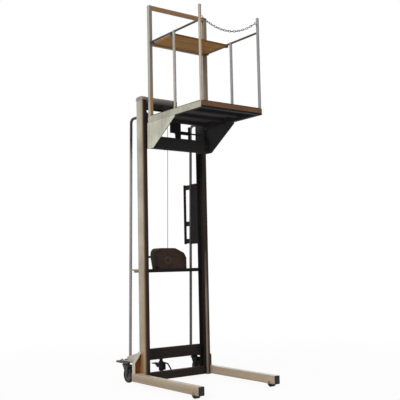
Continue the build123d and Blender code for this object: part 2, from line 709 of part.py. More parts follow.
def winch_shelf():
    low = SHELF_Z - SHELF_LIP
    wide = TIP_X + SHELF_IN
    plate = box(-TIP_X, TIP_X, REAR_LINE, SHELF_REAR, SHELF_Z - SHELF_T, SHELF_Z)
    plate += box(-TIP_X, TIP_X, REAR_LINE, REAR_LINE + SHELF_T, low, SHELF_Z)
    plate += box(-wide, wide, UP_DEPTH, UP_DEPTH + SHELF_T, low, SHELF_Z)
    plate += box(-wide, wide, SHELF_REAR - SHELF_T, SHELF_REAR, low, SHELF_Z)
    for side in (-1, 1):
        x0, x1 = sorted((side * wide, side * (wide - SHELF_T)))
        plate += box(x0, x1, UP_DEPTH, SHELF_REAR, low, SHELF_Z)
        x0, x1 = sorted((side * TIP_X, side * wide))
        plate += box(x0, x1, UP_DEPTH, SHELF_REAR, SHELF_Z - SHELF_T, SHELF_Z)
    return plate


# Winch

def gear_outline(teeth, module):
    pitch_r = module * teeth / 2
    base_r = pitch_r * math.cos(math.radians(20))
    root_r = pitch_r - 1.2 * module
    tip_r = pitch_r + 0.85 * module
    half = math.pi / (2 * teeth) - 0.25 / pitch_r

    def flank(radius):
        if radius <= base_r:
            return half + math.tan(math.radians(20)) - math.radians(20)
        turn = math.acos(base_r / radius)
        return half + math.tan(math.radians(20)) - math.radians(20) - math.tan(turn) + turn

    points = []
    start_r = max(base_r, root_r)
    radii = [start_r + k / 4 * (tip_r - start_r) for k in range(5)]
    if root_r < base_r:
        radii.insert(0, root_r)
    for tooth in range(teeth):
        middle = 2 * math.pi * tooth / teeth
        side = [(r, middle - flank(r)) for r in radii] + [(r, middle + flank(r)) for r in reversed(radii)]
        points += [(r * math.cos(a), r * math.sin(a)) for r, a in side]
    return outline(*points)


def ratchet_outline():
    points = []
    for tooth in range(RATCHET_TEETH):
        a = 2 * math.pi * tooth / RATCHET_TEETH
        b = 2 * math.pi * (tooth + 0.92) / RATCHET_TEETH
        points += [(RATCHET_R * math.cos(a), RATCHET_R * math.sin(a)),
                   ((RATCHET_R - 6) * math.cos(b), (RATCHET_R - 6) * math.sin(b))]
    return outline(*points)


def winch_frame():
    foot = box(-FOOT_W / 2, FOOT_W / 2, CHEEK_FRONT - 2, CHEEK_REAR + 2, SHELF_Z, SHELF_Z + FOOT_T)
    top = pawl_pin()[1] + CHEEK_RISE
    pieces = [foot]
    for y0 in (CHEEK_FRONT, CHEEK_REAR - CHEEK_T):
        face = outline((DRUM_X - CHEEK_TOE_LEFT, SHELF_Z + FOOT_T),
                       (PINION_X + CHEEK_TOE_RIGHT, SHELF_Z + FOOT_T),
                       (PINION_X + CHEEK_SHOULDER, top), (DRUM_X - CHEEK_SHOULDER, top))
        cheek = prism_xz(face, y0, y0 + CHEEK_T)
        cheek -= rod("Y", DRUM_SHAFT_R + RUN, y0 - 1, y0 + CHEEK_T + 1, DRUM_X, DRUM_Z)
        cheek -= rod("Y", PINION_SHAFT_R + RUN, y0 - 1, y0 + CHEEK_T + 1, PINION_X, PINION_Z)
        pieces.append(cheek)
    pieces[2] += rod("Y", PAWL_PIN_R, CHEEK_REAR, CHEEK_REAR + 9, *pawl_pin())
    return pieces


def winch_hood():
    top = SHELF_Z + HOOD_H
    half = HOOD_W / 2
    shoulder = (HOOD_SHOULDER_X, top - HOOD_SHOULDER_DROP)
    bends = (((-half, top), HOOD_R), ((-half, SHELF_Z + HOOD_LEAN_H), HOOD_BEND),
             ((HOOD_FLAT, top), HOOD_BEND), (shoulder, HOOD_SHOULDER_R),
             ((half, top - HOOD_SIDE_DROP), HOOD_SIDE_R))

    def section(base):
        face = outline((-half + HOOD_LEAN, base), (half, base), (half, top - HOOD_SIDE_DROP), shoulder,
                       (HOOD_FLAT, top), (-half, top), (-half, SHELF_Z + HOOD_LEAN_H))
        for point, radius in bends:
            face = fillet(face.vertices().sort_by_distance((*point, 0))[0], radius)
        return face

    hood = prism_xz(section(SHELF_Z), HOOD_FRONT, HOOD_REAR)
    hood += round_cover()
    room = offset(section(SHELF_Z - 2 * HOOD_T), amount=-HOOD_T)
    hood -= prism_xz(room, HOOD_FRONT + HOOD_T, HOOD_REAR - HOOD_T)
    hood -= box(ROPE_X - HOOD_SLOT / 2, ROPE_X + HOOD_SLOT / 2, WIND_FRONT - 4, ROPE_LEAVE_Y + 8,
                top - 10, top + 1)
    return hood - rod("Y", PINION_SHAFT_R + 2, HOOD_REAR - 4, HOOD_REAR + 1, PINION_X, PINION_Z)


def round_cover():
    front, middle = HOOD_FRONT - COVER_T, HOOD_FRONT - COVER_T / 2
    place = (DRUM_X, SHELF_Z + COVER_UP)
    dish = rod("Y", COVER_R - COVER_RIM, front, middle, *place) - rod("Y", COVER_HUB_R, front, middle, *place)
    return rod("Y", COVER_R, front, HOOD_FRONT, *place) - dish


def winch_drum():
    body = rod("Y", DRUM_R, DRUM_FRONT, GEAR_FRONT, DRUM_X, DRUM_Z)
    body += rod("Y", DRUM_FLANGE_R, DRUM_FRONT, DRUM_FRONT + 4, DRUM_X, DRUM_Z)
    body += rod("Y", DRUM_FLANGE_R, GEAR_FRONT - 4, GEAR_FRONT, DRUM_X, DRUM_Z)
    return body + rod("Y", DRUM_SHAFT_R, CHEEK_FRONT, CHEEK_REAR, DRUM_X, DRUM_Z)


def drum_gear():
    face = Rot(0, 0, GEAR_ANGLE) * gear_outline(GEAR_TEETH, GEAR_MODULE)
    body = prism_xz(Pos(DRUM_X, DRUM_Z) * face, GEAR_FRONT, GEAR_FRONT + GEAR_W)
    return body - rod("Y", DRUM_SHAFT_R + PRESS, GEAR_FRONT - 1, GEAR_FRONT + GEAR_W + 1, DRUM_X, DRUM_Z)


def pinion_shaft():
    turn = GEAR_ANGLE + 180 + 180 / PINION_TEETH
    face = Rot(0, 0, turn) * gear_outline(PINION_TEETH, GEAR_MODULE)
    body = prism_xz(Pos(PINION_X, PINION_Z) * face, GEAR_FRONT - 1, GEAR_FRONT + GEAR_W + 1)
    body += prism_xz(Pos(PINION_X, PINION_Z) * ratchet_outline(), CHEEK_REAR + 2, CHEEK_REAR + 2 + RATCHET_W)
    return body + rod("Y", PINION_SHAFT_R, CHEEK_FRONT, CRANK_Y + CRANK_T + 4, PINION_X, PINION_Z)


def pawl_pin():
    return PINION_X + 8, PINION_Z + RATCHET_R + 16


def ratchet_pawl():
    x, z = pawl_pin()
    face = Pos(x, z) * Circle(PAWL_PIN_R + 5)
    tail = math.radians(-150)
    reach = 30
    tip = (x + reach * math.cos(tail), z + reach * math.sin(tail) + 3)
    face += outline((x - 2, z + 8), (tip[0] - 2, tip[1] + 6), tip, (x, z - 8))
    y0 = CHEEK_REAR + 2
    return prism_xz(face, y0, y0 + RATCHET_W) - rod("Y", PAWL_PIN_R + RUN, y0 - 1, y0 + RATCHET_W + 1, x, z)


def crank_arm():
    y0, y1 = CRANK_Y, CRANK_Y + CRANK_T
    end = PINION_X - CRANK_R
    arm = box(end, PINION_X, y0, y1, PINION_Z - CRANK_W / 2, PINION_Z + CRANK_W / 2)
    arm += rod("Y", CRANK_W / 2, y0, y1, end, PINION_Z)
    arm += rod("Y", 20, y0 - 8, y1, PINION_X, PINION_Z)
    arm -= rod("Y", PINION_SHAFT_R + PRESS, y0 - 9, y1 + 1, PINION_X, PINION_Z)
    pin_end = y1 + CRANK_GRIP_L + 6
    arm += rod("Y", CRANK_PIN_R, y1, pin_end, end, PINION_Z)
    return arm + rod("Y", CRANK_PIN_R + 4, pin_end - 4, pin_end, end, PINION_Z)


def crank_grip():
    y0 = CRANK_Y + CRANK_T + 1
    half = (CRANK_GRIP_L - 1) / 2
    bulge = ThreePointArc((CRANK_GRIP_R - 3, -half), (CRANK_GRIP_R, 0), (CRANK_GRIP_R - 3, half))
    side = Polyline((CRANK_GRIP_R - 3, half), (CRANK_PIN_R + RUN, half), (CRANK_PIN_R + RUN, -half),
                    (CRANK_GRIP_R - 3, -half))
    body = revolve(make_face([bulge, side]), Axis.Y)
    return Pos(PINION_X - CRANK_R, y0 + half, PINION_Z) * body


# Wire rope

def wind_point(turn):
    angle = 2 * math.pi * turn
    return Vector(DRUM_X + WIND_R * math.cos(angle), WIND_FRONT + ROPE_PITCH * turn,
                  DRUM_Z + WIND_R * math.sin(angle))


def wind_tangent(turn):
    angle = 2 * math.pi * turn
    way = 2 * math.pi * WIND_R
    return Vector(-way * math.sin(angle), ROPE_PITCH, way * math.cos(angle)).normalized()


def biarc(p0, t0, p1, t1):
    chord = p1 - p0
    a = 2 * (t0.dot(t1) - 1)
    b = -2 * chord.dot(t0 + t1)
    c = chord.dot(chord)
    reach = (-b - math.sqrt(b * b - 4 * a * c)) / (2 * a) if abs(a) > 1e-9 else -c / b
    reach = abs(reach)
    q0 = p0 + t0 * reach
    q1 = p1 - t1 * reach
    joint = (q0 + q1) * 0.5
    return [Edge.make_tangent_arc(p0, t0, joint), Edge.make_tangent_arc(joint, (q1 - q0).normalized(), p1)]


def rope_winding():
    quarters = 4 * ROPE_TURNS
    first, last = wind_point(0), wind_point(ROPE_TURNS)
    start = first - wind_tangent(0) * ROPE_D
    edges = [Edge.make_line(start, first)]
    for k in range(quarters):
        a, b = k / 4, (k + 1) / 4
        edges += biarc(wind_point(a), wind_tangent(a), wind_point(b), wind_tangent(b))
    edges.append(Edge.make_line(last, last + wind_tangent(ROPE_TURNS) * ROPE_D))
    path = Wire(edges)
    steps = 24
    points = [wind_point(k / steps) for k in range(steps * ROPE_TURNS + 1)]
    gap = min((points[i] - points[j]).length
              for i in range(len(points)) for j in range(i + steps // 2, len(points)))
    print("rope winding: turns", ROPE_TURNS, "least gap to itself", round(gap - ROPE_D, 2))
    return sweep(Plane(origin=start, z_dir=wind_tangent(0)) * Circle(ROPE_R), path=path)


def rope_run():
    clear = math.sqrt((WIND_R + ROPE_R + 2 * FREE) ** 2 - (WIND_R - ROPE_R) ** 2)
    start = Vector(ROPE_X, ROPE_LEAVE_Y, DRUM_Z + clear)
    centre = Vector(ROPE_X, SHEAVE_Y, SHEAVE_Z)
    dy, dz = start.Y - centre.Y, start.Z - centre.Z
    far = math.hypot(dy, dz)
    angle = math.atan2(dz, dy) + math.acos(SHEAVE_PITCH_R / far)
    touch = Vector(ROPE_X, centre.Y + SHEAVE_PITCH_R * math.cos(angle),
                   centre.Z + SHEAVE_PITCH_R * math.sin(angle))
    leave = Vector(ROPE_X, FALL_Y, SHEAVE_Z)
    up = Edge.make_line(start, touch)
    over = Edge.make_tangent_arc(touch, (touch - start).normalized(), leave)
    down = Edge.make_line(leave, Vector(ROPE_X, FALL_Y, FALL_TOP))
    end_face = Plane(origin=start, z_dir=(touch - start).normalized()) * Circle(ROPE_R)
    body = sweep(end_face, path=Wire([up, over, down]))
    print("rope run: volume over section times length", round(body.volume / (math.pi * ROPE_R ** 2
          * (up.length + over.length + down.length)), 3))
    return body


def rope_fall():
    return rod("Z", ROPE_R, SOCKET_TOP, FALL_TOP - FREE, ROPE_X, FALL_Y)


# Carriage

def carriage_beam():
    y0, y1 = DECK_REAR - BEAM_D, DECK_REAR
    inner = DECK_X - PLAT_BRACKET_T
    outer = box(-inner, inner, y0, y1, BEAM_Z, BEAM_Z + BEAM_H)
    return outer - box(-inner, inner, y0 + BEAM_T, y1 - BEAM_T, BEAM_Z + BEAM_T, BEAM_Z + BEAM_H - BEAM_T)


def platform_bracket():
    nose = DECK_REAR - PLAT_BRACKET_NOSE
    tip = DECK_REAR - PLAT_BRACKET_L
    back = DECK_REAR + PLAT_BRACKET_BACK
    face = outline((back, BEAM_Z), (nose, BEAM_Z), (tip, DECK_BOTTOM - 12), (tip, DECK_BOTTOM),
                   (back, DECK_BOTTOM))
    return [prism_yz(face, -DECK_X, -DECK_X + PLAT_BRACKET_T)]


def roller_plate():
    x1 = -ROLL_PLATE_X + ROLL_PLATE_T
    face = outline((DECK_REAR, BEAM_Z + 10), (ROLL_PLATE_REAR, BEAM_Z + 10),
                   (ROLL_PLATE_REAR, ROLL_PLATE_TOP), (GUIDE_Y - 30, ROLL_PLATE_TOP), (DECK_REAR, DECK_TOP))
    plate = prism_yz(face, -ROLL_PLATE_X, x1)
    pins = []
    for z in (GUIDE_LOW, GUIDE_HIGH):
        plate -= rod("X", GUIDE_PIN_R + PRESS, -ROLL_PLATE_X - 1, x1 + 1, GUIDE_Y, z)
        pin = rod("X", GUIDE_PIN_R, -GUIDE_X1, x1, GUIDE_Y, z)
        pin += rod("X", GUIDE_PIN_R + 6, -GUIDE_X0 + FREE, -ROLL_PLATE_X, GUIDE_Y, z)
        pin += rod("X", GUIDE_PIN_R + 6, x1, x1 + 5, GUIDE_Y, z)
        pins.append(pin)
    plate -= rod("X", CATCH_R + RUN, -ROLL_PLATE_X - 1, x1 + 1, CATCH_Y, CATCH_Z)
    return [plate] + pins


def guide_roller(side, z):
    x0, x1 = sorted((side * GUIDE_X0, side * GUIDE_X1))
    body = rod("X", GUIDE_R, x0, x1, GUIDE_Y, z)
    body = chamfer(body.edges().filter_by(GeomType.CIRCLE), 2)
    return body - rod("X", GUIDE_PIN_R + RUN, x0 - 1, x1 + 1, GUIDE_Y, z)


def rope_anchor():
    low, top = BEAM_Z + BEAM_H - 30, DECK_UNDER
    face = outline((-ANCHOR_STEM, low), (ANCHOR_RIGHT, low), (ANCHOR_RIGHT, top), (-ANCHOR_LEFT, top),
                   (-ANCHOR_LEFT, ANCHOR_NOTCH_Z), (-ANCHOR_STEM, ANCHOR_NOTCH_Z))
    plate = prism_xz(face, DECK_REAR, DECK_REAR + ANCHOR_T)
    rear = DECK_REAR + ANCHOR_T
    pieces = []
    for side in (-1, 1):
        x0, x1 = sorted((ROPE_X + side * LUG_GAP / 2, ROPE_X + side * (LUG_GAP / 2 + LUG_T)))
        lug = outline((rear, ANCHOR_PIN_Z - 22), (FALL_Y + 14, ANCHOR_PIN_Z - 14),
                      (FALL_Y + 14, ANCHOR_PIN_Z + 14), (rear, ANCHOR_PIN_Z + 40))
        plate += prism_yz(lug, x0, x1) - rod("X", 6 + PRESS, x0 - 1, x1 + 1, FALL_Y, ANCHOR_PIN_Z)
    ear_x = ANCHOR_RIGHT - ANCHOR_EAR_T
    ear = box(ear_x, ANCHOR_RIGHT, rear, CATCH_Y + 16, CATCH_Z - 16, CATCH_Z + 16)
    plate += ear - rod("X", CATCH_R + RUN, ear_x - 1, ANCHOR_RIGHT + 1, CATCH_Y, CATCH_Z)
    socket = rod("Z", SOCKET_R, ANCHOR_PIN_Z + 8, SOCKET_TOP, ROPE_X, FALL_Y)
    socket += box(ROPE_X - 6, ROPE_X + 6, FALL_Y - 10, FALL_Y + 10, ANCHOR_PIN_Z - 10, ANCHOR_PIN_Z + 10)
    socket -= rod("X", 6 + PRESS, ROPE_X - 7, ROPE_X + 7, FALL_Y, ANCHOR_PIN_Z)
    reach = LUG_GAP / 2 + LUG_T + 4
    pieces += [plate, socket, rod("X", 6, ROPE_X - reach, ROPE_X + reach, FALL_Y, ANCHOR_PIN_Z)]
    return pieces


def safety_catch():
    start = ANCHOR_RIGHT - ANCHOR_EAR_T - 6
    end = ROLL_PLATE_X + 22
    body = rod("X", CATCH_R, start, end, CATCH_Y, CATCH_Z)
    lever = box(CATCH_LEVER_X, CATCH_LEVER_X + CATCH_LEVER_T, CATCH_Y - 9, CATCH_Y + 9,
                CATCH_Z - CATCH_LEVER_LOW, CATCH_Z + CATCH_LEVER_HIGH)
    body += lever + rod("X", CATCH_HUB_R, ANCHOR_RIGHT + 1, CATCH_LEVER_X, CATCH_Y, CATCH_Z)
    cam = outline((CATCH_Y - 10, CATCH_Z - 12), (CATCH_Y + 14, CATCH_Z - 12),
                  (CATCH_Y + 14, CATCH_Z + CATCH_CAM_R), (CATCH_Y - 4, CATCH_Z + CATCH_CAM_R))
    body += prism_yz(cam, ROLL_PLATE_X + 4, end)
    return body


# Platform

def deck_frame():
    x0, x1 = -DECK_X, DECK_X
    side_front = DECK_FRONT + DECK_SIDE
    rear_front = DECK_REAR - BEAM_D
    mitre = outline((x0, DECK_FRONT), (x1, DECK_FRONT),
                    (x1 - DECK_SIDE, side_front), (x0 + DECK_SIDE, side_front))
    mitre = extrude(Pos(0, 0, DECK_BOTTOM - 1) * mitre, amount=DECK_H + 2)
    pieces = []
    for a, b in ((x0, x0 + DECK_SIDE), (x1 - DECK_SIDE, x1)):
        pieces.append(hollow(a, b, DECK_FRONT, DECK_REAR, DECK_BOTTOM, DECK_UNDER, Axis.Y, DECK_T) - mitre)
    pieces.append(hollow(x0, x1, DECK_FRONT, side_front, DECK_BOTTOM, DECK_UNDER, Axis.X, DECK_T) & mitre)
    inner = DECK_X - DECK_SIDE
    low = DECK_UNDER - DECK_REAR_H
    pieces.append(hollow(-inner, inner, rear_front, DECK_REAR, low, DECK_UNDER, Axis.X, DECK_T))
    bay = (rear_front - side_front) / 3
    for k in (1, 2):
        y = side_front + k * bay
        pieces.append(hollow(-inner, inner, y - 20, y + 20, low, DECK_UNDER, Axis.X, DECK_T))
    return pieces


def deck_plate():
    plate = box(-DECK_X, DECK_X, DECK_FRONT, DECK_REAR, DECK_UNDER, DECK_TOP)
    low, high = DECK_UNDER - 1, DECK_TOP + 1
    near = ROUND_R + POST_GAP
    square = POST_W + POST_GAP
    for side in (-1, 1):
        edge = side * (DECK_X + 1)
        inner = side * (DECK_X - square)
        plate -= box(*sorted((edge, inner)), DECK_REAR - square, DECK_REAR + 1, low, high)
        inner = side * (POST_X - near)
        plate -= box(*sorted((edge, inner)), DECK_FRONT - 1, FRONT_POST_Y + near, low, high)
        plate -= box(*sorted((edge, inner)), MID_POST_Y - near, MID_POST_Y + near, low, high)
    return plate


def rear_guard():
    y0, y1 = DECK_REAR - POST_W, DECK_REAR
    top = DECK_TOP + REAR_RAIL_TOP
    inner = DECK_X - POST_W
    pieces = []
    for a, b in ((-DECK_X, -inner), (inner, DECK_X)):
        pieces.append(hollow(a, b, y0, y1, DECK_UNDER, top, Axis.Z, POST_T))
    for rail_top in (top, TRAY_UNDER + POST_W):
        pieces.append(hollow(-inner, inner, y0, y1, rail_top - POST_W, rail_top, Axis.X, POST_T))
    return pieces


def side_guard(side):
    x = side * POST_X
    mid = rod("Z", ROUND_R, DECK_UNDER, DECK_TOP + SIDE_RAIL_TOP, x, MID_POST_Y)
    front = rod("Z", ROUND_R, DECK_UNDER, DECK_TOP + FRONT_POST_H, x, FRONT_POST_Y)
    front = fillet(front.edges().group_by(Axis.Z)[-1], 5)
    rear_y = DECK_REAR - POST_W
    mid_bore = rod("Z", ROUND_R - POST_T, DECK_UNDER, DECK_TOP + SIDE_RAIL_TOP - POST_T, x, MID_POST_Y)
    front_bore = rod("Z", ROUND_R - POST_T, DECK_UNDER, DECK_TOP + FRONT_POST_H - POST_T, x, FRONT_POST_Y)
    rear_rail = rod("Y", SIDE_RAIL_R, MID_POST_Y + ROUND_R - 4, rear_y, x, SIDE_RAIL_Z) - mid
    for y in (TRAY_FRONT + CLEAT_L, rear_y - CLEAT_L):
        y0, y1 = y - CLEAT_L / 2, y + CLEAT_L / 2
        low = TRAY_UNDER - CLEAT_T
        strap = min(low, SIDE_RAIL_Z), max(TRAY_UNDER, SIDE_RAIL_Z)
        rear_rail += box(*sorted((side * (TRAY_X - CLEAT_W), x)), y0, y1, low, TRAY_UNDER)
        rear_rail += box(*sorted((side * (TRAY_X + TRAY_GAP), x)), y0, y1, *strap)
    front_rail = rod("Y", SIDE_RAIL_R, FRONT_POST_Y + ROUND_R - 4, MID_POST_Y - ROUND_R + 4, x, SIDE_RAIL_Z)
    front_rail = front_rail - mid - front
    eye_x, eye_z = eye_place(side)
    eye = Pos(eye_x, CHAIN_Y, eye_z) * Rot(90, 0, 0) * Torus(EYE_R, EYE_WIRE)
    return [mid - mid_bore, front + eye - front_bore, rear_rail, front_rail]


def tray():
    return box(-TRAY_X, TRAY_X, TRAY_FRONT, DECK_REAR - POST_W, TRAY_UNDER, TRAY_TOP)


# Chain across the front

def ring(length, width, wire):
    half = length / 2 - width / 2
    r = width / 2 - wire / 2
    path = Wire([
        Edge.make_line((-half, -r, 0), (half, -r, 0)),
        Edge.make_three_point_arc((half, -r, 0), (half + r, 0, 0), (half, r, 0)),
        Edge.make_line((half, r, 0), (-half, r, 0)),
        Edge.make_three_point_arc((-half, r, 0), (-half - r, 0, 0), (-half, -r, 0)),
    ])
    return sweep(Plane(origin=(-half, -r, 0), z_dir=(1, 0, 0)) * Circle(wire / 2), path=path)


def eye_place(side):
    high = CHAIN_LEFT_H if side < 0 else CHAIN_RIGHT_H
    return side * (POST_X - ROUND_R - EYE_R + 1), DECK_TOP + high


def hook_point(distance):
    x, z = eye_place(1)
    tilt = math.radians(HOOK_TILT)
    pull = EYE_R - EYE_WIRE - LINK_GAP + distance
    return x - pull * math.cos(tilt), z - pull * math.sin(tilt)


def chain_curve():
    x1, z1 = hook_point(HOOK_L - 2 * HOOK_WIRE - LINK_GAP / 2)
    left_x, left_z = eye_place(-1)
    pull = EYE_R - EYE_WIRE - LINK_GAP / 2
    tilt = 0.0
    for step in range(12):
        x0 = left_x + pull * math.cos(tilt)
        z0 = left_z + pull * math.sin(tilt)
        sag = ((x1 - x0) * math.tan(math.radians(HOOK_TILT)) - z1 + z0) / 4
        tilt = math.atan2(z1 - z0 - 4 * sag, x1 - x0)
    return (x0, z0), (x1, z1), sag


def chain_point(share):
    (x0, z0), (x1, z1), sag = CHAIN_CURVE
    return x0 + share * (x1 - x0), z0 + share * (z1 - z0) - 4 * sag * share * (1 - share)


def chain_places():
    fine = [chain_point(k / 2000) for k in range(2001)]
    run = [0.0]
    for a, b in zip(fine, fine[1:]):
        run.append(run[-1] + math.dist(a, b))
    count = 2 * round(run[-1] / LINK_PITCH / 2)
    pitch = run[-1] / count
    places = []
    for k in range(count):
        want = (k + 0.5) * pitch
        index = next(i for i, length in enumerate(run) if length >= want)
        (ax, az), (bx, bz) = fine[index - 1], fine[index]
        places.append((bx, bz, math.degrees(math.atan2(bz - az, bx - ax))))
    return places, pitch


def safety_chain():
    places, pitch = chain_places()
    link = ring(pitch + LINK_GAP + 2 * LINK_WIRE, LINK_W, LINK_WIRE)
    return [Pos(x, CHAIN_Y, z) * Rot(0, -tilt, 0) * Rot(90 * (k % 2), 0, 0) * link
            for k, (x, z, tilt) in enumerate(places)]


def chain_hook():
    x, z = hook_point(HOOK_L / 2 - HOOK_WIRE)
    return Pos(x, CHAIN_Y, z) * Rot(0, -HOOK_TILT, 0) * ring(HOOK_L, HOOK_W, HOOK_WIRE)


CHAIN_CURVE = chain_curve()

os.makedirs("parts", exist_ok=True)

save_pair("leg", leg)
save("leg_end_caps", *leg_end_caps())
save("base_cross_tube", cross_tube())
save("base_top_rail", top_rail())
save_pair("leg_bracket", leg_bracket)
save_pair("caster_plate", caster_plate)
save("base_fasteners", *base_fasteners())
for name, side in (("left", -1), ("right", 1)):
    save(f"front_roller_{name}", front_roller(side))
    save(f"caster_fork_{name}", *caster_fork(side))
    save(f"caster_wheel_{name}", caster_wheel(side))
save_pair("caster_lever", caster_lever)
save("floor_lock_body", *lock_body())
save("floor_lock_plunger", lock_plunger())
save("floor_lock_pedal", lock_pedal())

save_pair("mast_upright", upright)
save("mast_crosshead", crosshead())
save("sheave_axle", sheave_axle())
save("top_sheave", top_sheave())
save_pair("rear_tube", rear_tube)
save("grip_handle", *grip_handle())
save("winch_shelf", winch_shelf())

save("winch_frame", *winch_frame())
save("winch_hood", winch_hood())
save("winch_drum", winch_drum())
save("drum_gear", drum_gear())
save("pinion_shaft", pinion_shaft())
save("ratchet_pawl", ratchet_pawl())
save("crank_arm", crank_arm())
save("crank_grip", crank_grip())
save("rope_winding", rope_winding())
save("rope_run", rope_run())
save("rope_fall", rope_fall())

save("carriage_beam", carriage_beam())
save_pair("platform_bracket", platform_bracket)
save_pair("roller_plate", roller_plate)
for name, side in (("left", -1), ("right", 1)):
    save(f"guide_roller_upper_{name}", guide_roller(side, GUIDE_HIGH))
    save(f"guide_roller_lower_{name}", guide_roller(side, GUIDE_LOW))
save("rope_anchor", *rope_anchor())
save("safety_catch", safety_catch())
save("deck_frame", *deck_frame())
save("deck_plate", deck_plate())
save("rear_guard", *rear_guard())
for name, side in (("left", -1), ("right", 1)):
    save(f"side_guard_{name}", *side_guard(side))
save("tray_board", tray())
save("safety_chain", *safety_chain())
save("chain_hook", chain_hook())
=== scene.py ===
import math

import bmesh
import bpy
from mathutils import Matrix, Vector


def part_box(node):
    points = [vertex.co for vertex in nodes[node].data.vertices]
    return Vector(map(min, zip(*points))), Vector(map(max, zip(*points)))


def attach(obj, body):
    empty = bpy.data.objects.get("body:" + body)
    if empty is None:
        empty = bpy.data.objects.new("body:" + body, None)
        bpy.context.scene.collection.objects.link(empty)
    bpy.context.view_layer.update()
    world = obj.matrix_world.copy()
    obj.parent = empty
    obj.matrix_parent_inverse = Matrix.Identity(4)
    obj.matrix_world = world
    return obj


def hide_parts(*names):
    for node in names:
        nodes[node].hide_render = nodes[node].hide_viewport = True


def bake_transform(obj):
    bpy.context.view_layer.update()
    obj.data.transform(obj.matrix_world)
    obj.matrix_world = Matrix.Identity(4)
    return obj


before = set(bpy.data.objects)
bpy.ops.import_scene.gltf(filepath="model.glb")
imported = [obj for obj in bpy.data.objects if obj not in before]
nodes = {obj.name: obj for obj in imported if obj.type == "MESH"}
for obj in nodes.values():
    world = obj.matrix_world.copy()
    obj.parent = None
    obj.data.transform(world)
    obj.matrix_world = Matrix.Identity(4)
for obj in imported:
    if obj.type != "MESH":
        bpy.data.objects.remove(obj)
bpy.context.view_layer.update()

uprightLow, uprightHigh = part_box("mast_upright_right")
mastY = uprightLow.y  # front face of the uprights
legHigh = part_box("leg_right")[1]
skin = 0.0005  # how far from a face its mask begins


# material nodes

def startMaterial(name):
    material = bpy.data.materials.new(name)
    material.use_nodes = True
    tree = material.node_tree
    return material, tree, tree.nodes["Principled BSDF"]


def fillSocket(tree, socket, value):
    if isinstance(value, bpy.types.NodeSocket):
        tree.links.new(value, socket)
    elif isinstance(value, tuple) and len(value) == 3 and socket.type == "RGBA":
        socket.default_value = (*value, 1.0)
    else:
        socket.default_value = value


def addNode(tree, kind, sockets=None, **settings):
    made = tree.nodes.new(kind)
    for key, value in settings.items():
        setattr(made, key, value)
    for key, value in (sockets or {}).items():
        fillSocket(tree, made.inputs[key], value)
    return made


def objectPlace(tree, scale=None):
    place = addNode(tree, "ShaderNodeTexCoord").outputs["Object"]
    if scale is None:
        return place
    return addNode(tree, "ShaderNodeMapping", {"Vector": place, "Scale": scale}).outputs["Vector"]


def noiseValue(tree, scale, detail=4.0, roughness=0.55, stretch=None):
    made = addNode(tree, "ShaderNodeTexNoise", {
        "Vector": objectPlace(tree, stretch), "Scale": scale, "Detail": detail, "Roughness": roughness})
    return made.outputs["Fac"]


def remap(tree, value, low, high, outLow=0.0, outHigh=1.0):
    made = addNode(tree, "ShaderNodeMapRange", {
        "Value": value, "From Min": low, "From Max": high, "To Min": outLow, "To Max": outHigh})
    return made.outputs["Result"]


def maths(tree, operation, first, second=0.0):
    made = addNode(tree, "ShaderNodeMath", {0: first, 1: second}, operation=operation)
    return made.outputs[0]


def mixColour(tree, factor, first, second):
    made = addNode(tree, "ShaderNodeMix", {0: factor, 6: first, 7: second}, data_type="RGBA")
    return made.outputs[2]


def addBump(tree, bsdf, height, strength, distance):
    made = addNode(tree, "ShaderNodeBump", {"Height": height, "Strength": strength, "Distance": distance})
    tree.links.new(made.outputs["Normal"], bsdf.inputs["Normal"])


edgeSet = {"samples": 4, "lean": (0.97, 0.80)}  # lean of the rounded normal where wear starts and ends


def edgeMask(tree, radius):
    soft = addNode(tree, "ShaderNodeBevel", {"Radius": radius}, samples=edgeSet["samples"])
    flat = addNode(tree, "ShaderNodeNewGeometry")
    made = addNode(tree, "ShaderNodeVectorMath", {0: soft.outputs["Normal"], 1: flat.outputs["True Normal"]},
                   operation="DOT_PRODUCT")
    return remap(tree, made.outputs["Value"], *edgeSet["lean"])


# masks that pick out a part of a piece by its place

def axisValue(tree, axis, both):
    value = addNode(tree, "ShaderNodeSeparateXYZ", {"Vector": objectPlace(tree)}).outputs[axis]
    return maths(tree, "ABSOLUTE", value) if both else value


def beyond(axis, edge, both=False):
    return lambda tree: maths(tree, "GREATER_THAN", axisValue(tree, axis, both), edge)


def short(axis, edge, both=False):
    return lambda tree: maths(tree, "LESS_THAN", axisValue(tree, axis, both), edge)


def between(axis, low, high):
    return beyond(axis, low), short(axis, high)


def fade(axis, start, end, both=False):
    return lambda tree: remap(tree, axisValue(tree, axis, both), start, end)


def slant(direction, edge):
    def mask(tree):
        place = addNode(tree, "ShaderNodeVectorMath", {0: objectPlace(tree)}, operation="ABSOLUTE").outputs[0]
        along = addNode(tree, "ShaderNodeVectorMath", {0: place, 1: direction}, operation="DOT_PRODUCT")
        return maths(tree, "LESS_THAN", along.outputs["Value"], edge)
    return mask


def around(x, z, inner, outer):
    def mask(tree):
        place = addNode(tree, "ShaderNodeVectorMath", {0: objectPlace(tree), 1: (x, 0.0, z)},
                        operation="SUBTRACT").outputs[0]
        flat = addNode(tree, "ShaderNodeVectorMath", {0: place, 1: (1.0, 0.0, 1.0)},
                       operation="MULTIPLY").outputs[0]
        away = addNode(tree, "ShaderNodeVectorMath", {0: flat}, operation="LENGTH").outputs["Value"]
        return maths(tree, "MULTIPLY", maths(tree, "GREATER_THAN", away, inner),
                     maths(tree, "LESS_THAN", away, outer))
    return mask


def zonedColour(tree, colour, zones):
    for masks, zoneColour in zones:
        factor = 1.0
        for mask in masks:
            factor = maths(tree, "MULTIPLY", mask(tree), factor)
        colour = mixColour(tree, factor, colour, zoneColour)
    return colour


